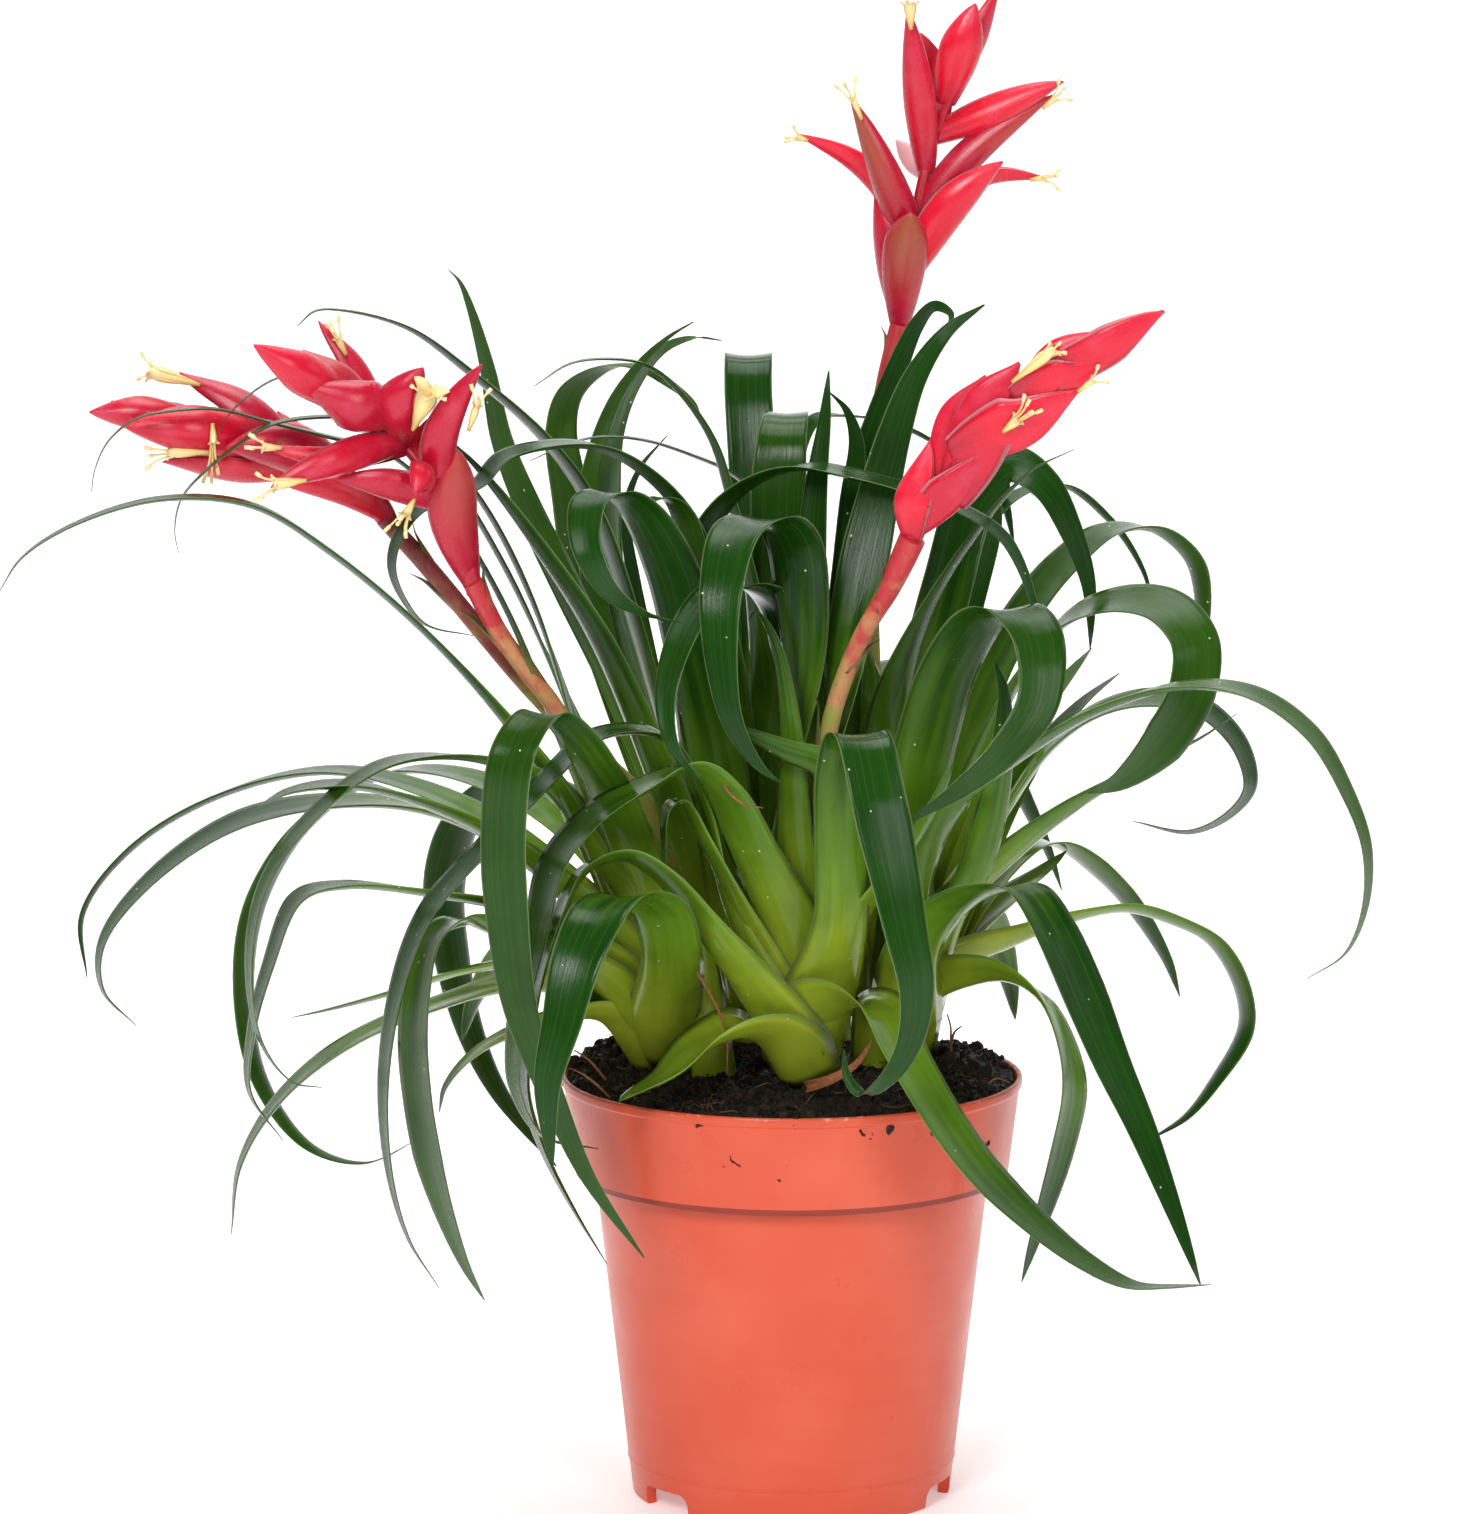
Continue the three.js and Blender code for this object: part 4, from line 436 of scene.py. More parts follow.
# Stage: the camera's place from the pot's foot in metres, its turns in degrees, its focal length and
# the picture's height in pixels, then the floor in metres and the strengths of the pale light
CAMERA_PLACE = (0.0, -2.0, 0.516)
CAMERA_PITCH = 8.695
CAMERA_YAW = 0.5
FOCAL_PIXELS = 7220
PICTURE_PIXELS = 1514
FLOOR_FRONT = -3.0
FLOOR_BACK = 1.6
FLOOR_CURVE = 1.2
FLOOR_REACH = 4.0
FLOOR_GLOW = 0.32
WORLD_GLOW = 0.1

# Flowers: the head, the foot and the mouth of the tube, the radius of the mouth, how many stamens
# there are and how far they reach.
FLOWERS = [
    ["tall", [19.3, 27.5, 386.6], [16.8, 27.5, 392.5], 1, 3, 6],
    ["tall", [4.2, 36, 380.1], [1.4, 36, 381.2], 1, 3, 4],
    ["tall", [70, 32.2, 389.5], [73.6, 32.2, 392.3], 1, 3, 5],
    ["tall", [67, 43.2, 368.7], [71.2, 43.2, 369.2], 1, 3, 5],
    ["tall", [32.9, 25.2, 411.9], [32.6, 25.2, 418.6], 1.9, 2, 3],
    ["sword", [56.7, -61, 308.2], [60.2, -62, 311.3], 1.5, 4, 8],
    ["sword", [59, -63.2, 321.9], [69.7, -64.2, 330.6], 1.9, 2, 4],
    ["sword", [76.7, -64.5, 319.4], [80.7, -65.5, 322.7], 0.9, 2, 4],
    ["near", [-103, -52.8, 307.7], [-98.6, -57.8, 318], 3.4, 3, 2],
    ["near", [-87.8, -54.5, 307.7], [-85.5, -56.5, 314.4], 1.2, 4, 6],
    ["near", [-131.3, -62, 295.1], [-139.3, -64, 294.2], 1.8, 3, 7],
    ["near", [-138.6, -49.8, 302.5], [-143.4, -50.8, 302.8], 1.2, 4, 5],
    ["near", [-122.1, -32.2, 326], [-124.3, -32.2, 330.4], 1.1, 3, 6],
    ["near", [-102.3, -58.8, 289.6], [-104.4, -60.8, 286], 1.4, 4, 7],
    ["far", [-163.9, -11.8, 315.8], [-177.2, -11.8, 319.4], 2.3, 2, 5],
    ["far", [-160.4, -24, 298.5], [-171.4, -24, 298.5], 1.7, 4, 7],
    ["far", [-159.5, -25.5, 306.6], [-159.2, -26.5, 301.7], 1.1, 3, 11],
]


def rgb(red, green, blue):
    """A colour given in 0 to 255, as linear light."""
    def linear(value):
        value /= 255
        return value / 12.92 if value <= 0.04045 else ((value + 0.055) / 1.055) ** 2.4
    return (linear(red), linear(green), linear(blue), 1.0)


def vectors(points):
    return [Vector(p) for p in points]


def mix(a, b, share):
    return a + (b - a) * share


def smooth(share):
    share = min(max(share, 0.0), 1.0)
    return share * share * (3 - 2 * share)


def seeded(seed):
    """The same run of numbers from 0 to 1 every time."""
    state = seed
    while True:
        state = state * 16807 % 2147483647
        yield state / 2147483647


class Path:
    """A smooth line through points, which is measured along its length."""

    STEPS = 20

    def __init__(self, points):
        row = [2 * points[0] - points[1], *points, 2 * points[-1] - points[-2]]
        self.line = [
            self.between(row[k:k + 4], i / self.STEPS)
            for k in range(len(points) - 1) for i in range(self.STEPS)
        ]
        self.line.append(points[-1].copy())
        self.marks = [0.0]
        for a, b in zip(self.line, self.line[1:]):
            self.marks.append(self.marks[-1] + (b - a).length)
        self.length = self.marks[-1]

    @staticmethod
    def between(span, t):
        p0, p1, p2, p3 = span
        d0, d1, d2 = ((b - a).length ** 0.5 for a, b in zip(span, span[1:]))
        leave = ((p1 - p0) / d0 - (p2 - p0) / (d0 + d1) + (p2 - p1) / d1) * d1
        reach = ((p2 - p1) / d1 - (p3 - p1) / (d1 + d2) + (p3 - p2) / d2) * d1
        return (p1 + leave * t + (3 * (p2 - p1) - 2 * leave - reach) * t ** 2
                + (2 * (p1 - p2) + leave + reach) * t ** 3)

    def spot(self, share):
        goal = min(max(share, 0.0), 1.0) * self.length
        k = min(max(bisect.bisect_right(self.marks, goal), 1), len(self.marks) - 1)
        low, high = self.marks[k - 1], self.marks[k]
        return self.line[k - 1].lerp(self.line[k], (goal - low) / (high - low))

    def direction(self, share):
        return (self.spot(share + 0.004) - self.spot(share - 0.004)).normalized()


class Place:
    """A place on a path: its share and length of the way, and its ways across and to the inner
    side."""

    def __init__(self, path, share, along, across):
        self.share, self.length = share, share * path.length
        self.at, self.across = path.spot(share), across
        self.inner = along.cross(across)


def places_on(path, step, bend, across, level=None, turn=0.0, twist=0.0):
    """Places on a path, one after each step of length or each bend in degrees. Past its sheath a
    blade turns until it lies at an angle of turn to level, and it twists on to its tip."""
    fine = 240
    directions = [path.direction(i / fine) for i in range(fine + 1)]
    cost = [0.0]
    for a, b in zip(directions, directions[1:]):
        cost.append(cost[-1] + math.degrees(a.angle(b, 0.0)) / bend + path.length / fine / step)
    count = max(4, round(cost[-1]))
    places = []
    side = across.copy()
    for k in range(count + 1):
        goal = cost[-1] * k / count
        i = min(max(bisect.bisect_left(cost, goal - 1e-9), 1), fine)
        share = (i - 1 + (goal - cost[i - 1]) / (cost[i] - cost[i - 1])) / fine
        share = min(max(share, 0.0), 1.0)
        along = path.direction(share)
        side = (side - along * side.dot(along)).normalized()
        angle = math.radians(twist * share)
        if level is not None:
            swing = math.atan2(along.dot(side.cross(level)), side.dot(level))
            past = smooth((share * path.length - LEVEL_FROM) / (LEVEL_TO - LEVEL_FROM))
            angle += past * (swing + math.radians(turn))
        turned = Matrix.Rotation(angle, 3, along) @ side
        places.append(Place(path, share, along, turned))
    return places


class Shell:
    """Points and faces gathered for one mesh. Each point keeps its place across and along its
    own blade, its growth from the foot and a shade that its blade has alone."""

    def __init__(self):
        self.points, self.faces, self.uvs, self.growth, self.shade = [], [], [], [], []

    def loft(self, rings, uvs=None, growth=None, shade=0.0):
        """A closed body through rings of equal count, the markings' values at 0 where not given."""
        start, count = len(self.points), len(rings[0])
        uvs = uvs or [[(0.0, 0.0)] * count] * len(rings)
        growth = growth or [0.0] * len(rings)
        for ring, row, grown in zip(rings, uvs, growth):
            self.points.extend(ring)
            self.uvs.extend(row)
            self.growth.extend([grown] * count)
            self.shade.extend([shade] * count)
        for k in range(len(rings) - 1):
            for i in range(count):
                a, b = start + k * count + i, start + k * count + (i + 1) % count
                self.faces.append((a, b, b + count, a + count))
        last = start + (len(rings) - 1) * count
        self.faces.append(tuple(start + i for i in reversed(range(count))))
        self.faces.append(tuple(last + i for i in range(count)))

    def mesh(self, name, sharp=180):
        """The mesh in metres, merged, facing outwards and smooth up to an angle."""
        mesh = bpy.data.meshes.new(name)
        mesh.from_pydata([POT_AXIS + p * MM for p in self.points], [], self.faces)
        uv = mesh.uv_layers.new(name="blade")
        index = [0] * len(mesh.loops)
        mesh.loops.foreach_get("vertex_index", index)
        uv.data.foreach_set("uv", [value for i in index for value in self.uvs[i]])
        for label, values in (("growth", self.growth), ("shade", self.shade)):
            mesh.attributes.new(label, "FLOAT", "POINT").data.foreach_set("value", values)
        return tidy_mesh(mesh, sharp)


def tidy_mesh(mesh, sharp=180):
    """Merges doubles, turns faces outwards and shades smooth up to an angle."""
    work = bmesh.new()
    work.from_mesh(mesh)
    bmesh.ops.remove_doubles(work, verts=work.verts, dist=2e-6)
    bmesh.ops.recalc_face_normals(work, faces=work.faces)
    work.to_mesh(mesh)
    work.free()
    mesh.polygons.foreach_set("use_smooth", [True] * len(mesh.polygons))
    if sharp < 180:
        mesh.set_sharp_from_angle(angle=math.radians(sharp))
    mesh.update()
    return mesh


def add_piece(mesh, material, nodes=()):
    """Puts a finished mesh in the scene, riding on the pot and standing for its nodes."""
    mesh.materials.clear()
    mesh.materials.append(material)
    piece = bpy.data.objects.new(mesh.name, mesh)
    bpy.context.scene.collection.objects.link(piece)
    if nodes:
        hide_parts(*nodes)
    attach(piece, "root")


# Node trees

def add(tree, kind, inputs=None, **settings):
    """A node with its settings, and each input given a value or another node's output."""
    made = tree.nodes.new(kind)
    for key, value in settings.items():
        setattr(made, key, value)
    for key, value in (inputs or {}).items():
        socket = made.inputs[key]
        if isinstance(key, str):
            socket = next(s for s in made.inputs if s.name == key and s.enabled)
        if isinstance(value, bpy.types.NodeSocket):
            tree.links.new(value, socket)
        else:
            socket.default_value = value
    return made


def maths(tree, operation, a, b=0.0):
    return add(tree, "ShaderNodeMath", {0: a, 1: b}, operation=operation).outputs[0]


def between(tree, value, low, high, start=0.0, end=1.0):
    """The value mapped from low..high to start..end, with soft ends."""
    return add(tree, "ShaderNodeMapRange", {0: value, 1: low, 2: high, 3: start, 4: end},
               interpolation_type="SMOOTHSTEP").outputs[0]


def ramp(tree, factor, *stops):
    made = add(tree, "ShaderNodeValToRGB", {0: factor})
    spots = made.color_ramp.elements
    for k, (spot, colour) in enumerate(stops):
        element = spots[k] if k < 2 else spots.new(spot)
        element.position = spot
        element.color = colour
    return made.outputs[0]


def blend(tree, factor, a, b, kind="MIX"):
    made = add(tree, "ShaderNodeMix", {0: factor, 6: a, 7: b}, data_type="RGBA", blend_type=kind)
    return made.outputs[2]


def attribute(tree, name):
    return add(tree, "ShaderNodeAttribute", attribute_name=name).outputs["Fac"]


def grain(tree, vector, scale, detail=4.0, roughness=0.5):
    return add(tree, "ShaderNodeTexNoise", {
        "Vector": vector, "Scale": scale, "Detail": detail, "Roughness": roughness,
    }).outputs[0]


def object_place(tree):
    return add(tree, "ShaderNodeTexCoord").outputs["Object"]


def blade_place(tree, across, along):
    """The place on a blade, stretched so that a pattern runs lengthwise."""
    spot = add(tree, "ShaderNodeUVMap", uv_map="blade").outputs[0]
    return add(tree, "ShaderNodeMapping", {0: spot, 3: (across, along, 1.0)}).outputs[0]


def blade_edge(tree):
    """0 at the middle of a blade and 1 at both its edges."""
    spot = add(tree, "ShaderNodeUVMap", uv_map="blade").outputs[0]
    across = add(tree, "ShaderNodeSeparateXYZ", {0: spot}).outputs[0]
    doubled = add(tree, "ShaderNodeMath", {0: across, 1: 2.0, 2: -1.0}, operation="MULTIPLY_ADD")
    return maths(tree, "ABSOLUTE", doubled.outputs[0])


def bump(tree, height, strength, distance):
    return add(tree, "ShaderNodeBump", {
        "Height": height, "Strength": strength, "Distance": distance,
    }).outputs[0]


def new_material(name):
    """An empty material and its surface shader."""
    material = bpy.data.materials.new(name)
    material.use_nodes = True
    tree = material.node_tree
    shader = next(n for n in tree.nodes if n.type == "BSDF_PRINCIPLED")
    return material, tree, shader


def set_surface(tree, shader, colour, roughness, normal=None, plain=None):
    """Colour, roughness and normal may be linked; plain numbers go on the shader's own sockets."""
    for key, value in (("Base Color", colour), ("Roughness", roughness), ("Normal", normal)):
        if isinstance(value, bpy.types.NodeSocket):
            tree.links.new(value, shader.inputs[key])
        elif value is not None:
            shader.inputs[key].default_value = value
    for key, value in (plain or {}).items():
        shader.inputs[key].default_value = value


def new_shape_tree(name, inputs):
    """A tree for a Geometry Nodes modifier, with named inputs and their defaults."""
    tree = bpy.data.node_groups.new(name, "GeometryNodeTree")
    tree.is_modifier = True
    tree.interface.new_socket("Geometry", in_out="INPUT", socket_type="NodeSocketGeometry")
    for label, kind, default in inputs:
        socket = tree.interface.new_socket(label, in_out="INPUT", socket_type=kind)
        if default is not None:
            socket.default_value = default
    tree.interface.new_socket("Geometry", in_out="OUTPUT", socket_type="NodeSocketGeometry")
    return tree, tree.nodes.new("NodeGroupInput").outputs


def close_tree(tree, geometry, material):
    """Makes instances real, sets the material and leads to the output."""
    real = add(tree, "GeometryNodeRealizeInstances", {"Geometry": geometry}).outputs[0]
    soft = add(tree, "GeometryNodeSetShadeSmooth", {"Geometry": real, "Shade Smooth": True})
    painted = add(tree, "GeometryNodeSetMaterial", {
        "Geometry": soft.outputs[0], "Material": material,
    })
    add(tree, "NodeGroupOutput", {"Geometry": painted.outputs[0]})


def grown(base, tree, values, name):
    """The plain mesh that a tree makes of a curve or mesh, with the tree's inputs set by name."""
    source = bpy.data.objects.new(name + "_source", base)
    bpy.context.scene.collection.objects.link(source)
    modifier = source.modifiers.new("grow", "NODES")
    modifier.node_group = tree
    sockets = {item.name: item.identifier for item in tree.interface.items_tree
               if item.item_type == "SOCKET" and item.in_out == "INPUT"}
    for label, value in values.items():
        modifier[sockets[label]] = value
    graph = bpy.context.evaluated_depsgraph_get()
    mesh = bpy.data.meshes.new_from_object(source.evaluated_get(graph), depsgraph=graph)
    source.modifiers.remove(modifier)
    bpy.data.objects.remove(source)
    mesh.name = name
    if not mesh.polygons:
        raise RuntimeError(name + " came out empty")
    return mesh


def curve_through(name, lines):
    """A curve of open splines through lists of points in millimetres."""
    curve = bpy.data.curves.new(name, "CURVE")
    curve.dimensions = "3D"
    for line in lines:
        spline = curve.splines.new("POLY")
        spline.points.add(len(line) - 1)
        spline.points.foreach_set("co", [v for p in line for v in (*(POT_AXIS + p * MM), 1.0)])
    return curve


def tube_tree():
    """Round rods along curves, each thinner or thicker towards its end, which may swell."""
    tree, inputs = new_shape_tree("Rods", [
        ("Foot radius", "NodeSocketFloat", 0.0026),
        ("Tip radius", "NodeSocketFloat", 0.0023),
        ("Swelling", "NodeSocketFloat", 1.0),
        ("Swelling from", "NodeSocketFloat", 0.72),
        ("Swelling to", "NodeSocketFloat", 0.8),
        ("Sides", "NodeSocketInt", 16),
        ("Material", "NodeSocketMaterial", None),
    ])
    share = add(tree, "GeometryNodeSplineParameter").outputs["Factor"]
    kept = add(tree, "GeometryNodeStoreNamedAttribute", {
        "Geometry": inputs["Geometry"], "Name": "growth", "Value": share,
    }, data_type="FLOAT", domain="POINT").outputs[0]
    radius = add(tree, "ShaderNodeMapRange", {
        0: share, 3: inputs["Foot radius"], 4: inputs["Tip radius"],
    }).outputs[0]
    swelling = between(tree, share, inputs["Swelling from"], inputs["Swelling to"], 1.0,
                       inputs["Swelling"])
    radius = maths(tree, "MULTIPLY", radius, swelling)
    circle = add(tree, "GeometryNodeCurvePrimitiveCircle", {
        "Resolution": inputs["Sides"], "Radius": 1.0,
    }).outputs[0]
    rods = add(tree, "GeometryNodeCurveToMesh", {
        "Curve": kept, "Profile Curve": circle, "Scale": radius, "Fill Caps": True,
    }).outputs[0]
    close_tree(tree, rods, inputs["Material"])
    return tree


def scatter_tree():
    """Crumbs scattered over the upward faces of a mesh."""
    tree, inputs = new_shape_tree("Crumbs", [
        ("Crumbs per square metre", "NodeSocketFloat", 90000.0),
        ("Smallest", "NodeSocketFloat", 0.0005),
        ("Largest", "NodeSocketFloat", 0.0019),
        ("Detail", "NodeSocketInt", 2),
        ("Seed", "NodeSocketInt", 3),
        ("Material", "NodeSocketMaterial", None),
    ])
    normal = add(tree, "GeometryNodeInputNormal").outputs[0]
    upward = add(tree, "ShaderNodeSeparateXYZ", {0: normal}).outputs[2]
    top = add(tree, "FunctionNodeCompare", {0: upward, 1: 0.5}, operation="GREATER_THAN").outputs[0]
    points = add(tree, "GeometryNodeDistributePointsOnFaces", {
        "Mesh": inputs["Geometry"], "Selection": top, "Density": inputs["Crumbs per square metre"],
        "Seed": inputs["Seed"],
    }).outputs[0]
    ball = add(tree, "GeometryNodeMeshIcoSphere", {
        "Radius": 1.0, "Subdivisions": inputs["Detail"],
    }).outputs[0]
    spot = add(tree, "GeometryNodeInputPosition").outputs[0]
    lumps = add(tree, "ShaderNodeTexNoise", {"Vector": spot, "Scale": 1.4, "Detail": 3.0}).outputs[1]
    centred = add(tree, "ShaderNodeVectorMath", {0: lumps, 1: (0.5, 0.5, 0.5)},
                  operation="SUBTRACT").outputs[0]
    pushed = add(tree, "ShaderNodeVectorMath", {0: centred, "Scale": 2.2}, operation="SCALE").outputs[0]
    crumb = add(tree, "GeometryNodeSetPosition", {"Geometry": ball, "Offset": pushed}).outputs[0]
    turn = add(tree, "FunctionNodeRandomValue", {
        "Max": (6.283, 6.283, 6.283), "Seed": inputs["Seed"],
    }, data_type="FLOAT_VECTOR").outputs[0]
    size = add(tree, "FunctionNodeRandomValue", {
        "Min": inputs["Smallest"], "Max": inputs["Largest"], "Seed": inputs["Seed"],
    }, data_type="FLOAT")
    size = next(s for s in size.outputs if s.enabled)
    strewn = add(tree, "GeometryNodeInstanceOnPoints", {
        "Points": points, "Instance": crumb, "Rotation": turn, "Scale": size,
    }).outputs[0]
    close_tree(tree, strewn, inputs["Material"])
    return tree


# Surfaces

def pot_plastic(colour):
    """Moulded plastic: satin gloss, faint flow marks, a scuffed rim, a painted shadow line under the collar
    and rare specks."""
    material, tree, shader = new_material("Pot plastic")
    spot = object_place(tree)
    cloud = grain(tree, spot, 26.0, 3.0)
    pale = blend(tree, between(tree, cloud, 0.35, 0.75, 0.0, 0.22), colour, rgb(238, 128, 102))
    marks = grain(tree, add(tree, "ShaderNodeMapping", {0: spot, 3: (9.0, 9.0, 60.0)}).outputs[0], 4.0)
    shaded = blend(tree, between(tree, marks, 0.4, 0.75, 0.0, 0.1), pale, rgb(196, 72, 50))
    rough = between(tree, grain(tree, spot, 60.0), 0.3, 0.7, 0.27, 0.38)
    fine = bump(tree, grain(tree, spot, 900.0, 2.0), 0.06, 0.0002)
    height = add(tree, "ShaderNodeSeparateXYZ", {0: spot}).outputs[2]
    worn = between(tree, grain(tree, spot, 420.0, 4.0), 0.58, 0.66, 0.0, 0.5)
    worn = maths(tree, "MULTIPLY", worn, between(tree, height, 0.1188, 0.1196))
    shaded = blend(tree, worn, shaded, rgb(240, 186, 164))
    # Painted shadow: a thin dark band just under the collar, where the collar's shade falls on the body.
    painted_collar_shadow = maths(tree, "MULTIPLY", between(tree, height, 0.0900, 0.0922),
                   maths(tree, "LESS_THAN", height, 0.0937))
    shaded = blend(tree, maths(tree, "MULTIPLY", painted_collar_shadow, 0.75), shaded, rgb(104, 30, 22))
    cells = add(tree, "ShaderNodeTexVoronoi", {"Vector": spot, "Scale": 90.0})
    chosen = add(tree, "ShaderNodeSeparateColor", {0: cells.outputs["Color"]}).outputs[0]
    specks = maths(tree, "MULTIPLY", maths(tree, "LESS_THAN", cells.outputs["Distance"], 0.035),
                   maths(tree, "GREATER_THAN", chosen, 0.93))
    shaded = blend(tree, maths(tree, "MULTIPLY", specks, 0.7), shaded, rgb(96, 40, 28))
    set_surface(tree, shader, shaded, rough, fine,
                {"Specular IOR Level": 0.3, "Coat Weight": 0.08, "Coat Roughness": 0.18})
    return material


def soil_surface(name, dark, light):
    """Peat: near-black with brown lumps, tan bits and damp glints."""
    material, tree, shader = new_material(name)
    spot = object_place(tree)
    coarse = grain(tree, spot, 240.0, 6.0, 0.7)
    colour = ramp(tree, coarse, (0.4, dark), (0.62, light), (0.78, rgb(96, 66, 44)))
    rough = between(tree, grain(tree, spot, 500.0), 0.4, 0.66, 0.35, 0.95)
    fine = bump(tree, grain(tree, spot, 1500.0, 6.0, 0.7), 0.9, 0.0008)
    set_surface(tree, shader, colour, rough, fine, {"Specular IOR Level": 0.35})
    return material


def leaf_surface(base, middle, top, edge):
    """A strap leaf: yellow-green at the sheath, dark and glossy above, with fine lengthwise veins,
    a pale margin and a few pale specks."""
    material, tree, shader = new_material("Leaf")
    growth, shade = attribute(tree, "growth"), attribute(tree, "shade")
    drift = between(tree, grain(tree, blade_place(tree, 1.6, 0.5), 3.0), 0.3, 0.7, -0.06, 0.06)
    grown = maths(tree, "ADD", growth, drift)
    body = ramp(tree, grown, (0.12, base), (0.4, middle), (0.7, top))
    body = blend(tree, between(tree, shade, 0.6, 1.0, 0.0, 0.3), body, middle)
    clouds = grain(tree, object_place(tree), 55.0, 3.0)
    body = blend(tree, between(tree, clouds, 0.4, 0.7, 0.0, 0.35), body, rgb(150, 172, 120), "MULTIPLY")
    spread = between(tree, growth, 0.25, 0.9, 0.06, 1.0)
    veins = grain(tree, blade_place(tree, 70.0, 0.6), 1.0, 3.0, 0.6)
    lines = maths(tree, "MULTIPLY", between(tree, veins, 0.4, 0.7, 0.0, 0.22), spread)
    veined = blend(tree, lines, body, rgb(170, 190, 130), "MULTIPLY")
    streaks = grain(tree, blade_place(tree, 24.0, 0.25), 1.0, 2.0)
    veined = blend(tree, maths(tree, "MULTIPLY", between(tree, streaks, 0.5, 0.72, 0.0, 0.1), spread),
                   veined, rgb(130, 160, 66))
    margin = between(tree, blade_edge(tree), 0.91, 1.0, 0.0, 0.8)
    edged = blend(tree, margin, veined, edge)
    cells = add(tree, "ShaderNodeTexVoronoi", {"Vector": object_place(tree), "Scale": 170.0})
    dots = maths(tree, "LESS_THAN", cells.outputs["Distance"], 0.05)
    chosen = add(tree, "ShaderNodeSeparateColor", {0: cells.outputs["Color"]}).outputs[0]
    dots = maths(tree, "MULTIPLY", dots, maths(tree, "GREATER_THAN", chosen, 0.45))
    specked = blend(tree, dots, edged, rgb(205, 216, 180))
    rough = between(tree, grain(tree, blade_place(tree, 30.0, 2.0), 1.0), 0.3, 0.7, 0.1, 0.2)
    ribs = bump(tree, maths(tree, "MULTIPLY", veins, spread), 0.3, 0.0003)
    set_surface(tree, shader, specked, rough, ribs, {"Specular IOR Level": 0.22})
    return material


def bract_surface(colour, deep, pale):
    """A waxy bract: lengthwise veins, a deeper foot, and a pale line along its margins."""
    material, tree, shader = new_material("Bract")
    growth, shade = attribute(tree, "growth"), attribute(tree, "shade")
    body = ramp(tree, growth, (0.0, deep), (0.3, colour), (0.95, rgb(228, 30, 60)))
    streaks = grain(tree, blade_place(tree, 16.0, 1.2), 1.0, 3.0)
    body = blend(tree, between(tree, streaks, 0.42, 0.75, 0.0, 0.25), body, rgb(226, 70, 92))
    body = blend(tree, between(tree, shade, 0.0, 0.45, 0.0, 0.75), body, rgb(172, 14, 50))
    bloom = grain(tree, object_place(tree), 90.0, 4.0)
    body = blend(tree, between(tree, bloom, 0.5, 0.8, 0.0, 0.3), body, rgb(226, 92, 120))
    keel = maths(tree, "MULTIPLY", between(tree, growth, 0.22, 0.8),
                 between(tree, blade_edge(tree), 0.25, 0.8, 1.0, 0.0))
    tinge = maths(tree, "MULTIPLY", between(tree, shade, 0.5, 1.0), keel)
    body = blend(tree, maths(tree, "MULTIPLY", tinge, 0.7), body, rgb(158, 92, 54))
    body = blend(tree, between(tree, shade, 1.5, 2.0, 0.0, 0.8), body, rgb(246, 206, 212))
    edged = blend(tree, between(tree, blade_edge(tree), 0.93, 1.0, 0.0, 0.85), body, pale)
    veins = grain(tree, blade_place(tree, 60.0, 1.0), 1.0, 3.0)
    rough = between(tree, grain(tree, object_place(tree), 200.0), 0.3, 0.7, 0.18, 0.32)
    set_surface(tree, shader, edged, rough, bump(tree, veins, 0.25, 0.0003),
                {"Specular IOR Level": 0.45, "Sheen Weight": 0.08, "Sheen Roughness": 0.4})
    return material


def stalk_surface(low, middle, high):
    """A flower stalk: yellow-green at the foot, redder to its top, with freckles."""
    material, tree, shader = new_material("Stalk")
    growth = attribute(tree, "growth")
    spot = object_place(tree)
    drift = maths(tree, "ADD", growth, between(tree, grain(tree, spot, 120.0), 0.3, 0.7, -0.12, 0.12))
    body = ramp(tree, drift, (0.5, low), (0.72, middle), (0.9, high))
    stretched = add(tree, "ShaderNodeMapping", {0: spot, 3: (1.0, 1.0, 0.15)}).outputs[0]
    veins = grain(tree, stretched, 900.0, 3.0)
    body = blend(tree, between(tree, veins, 0.45, 0.75, 0.0, 0.35), body, rgb(176, 120, 78))
    freckles = between(tree, grain(tree, spot, 700.0, 2.0), 0.66, 0.74, 0.0, 0.6)
    body = blend(tree, freckles, body, rgb(138, 62, 48))
    set_surface(tree, shader, body, 0.42, bump(tree, veins, 0.2, 0.0003))
    return material


def tissue_surface(name, foot, middle, tip, streak):
    """Thin plant tissue in three tones from foot to tip, with fine veins."""
    material, tree, shader = new_material(name)
    veins = grain(tree, object_place(tree), 900.0, 3.0)
    body = ramp(tree, attribute(tree, "growth"), (0.0, foot), (0.45, middle), (1.0, tip))
    body = blend(tree, between(tree, veins, 0.4, 0.7, 0.0, 0.3), body, streak)
    set_surface(tree, shader, body, 0.45, bump(tree, veins, 0.2, 0.0003),
                {"Subsurface Weight": 0.08, "Subsurface Radius": (0.004, 0.003, 0.001)})
    return material


# Pieces

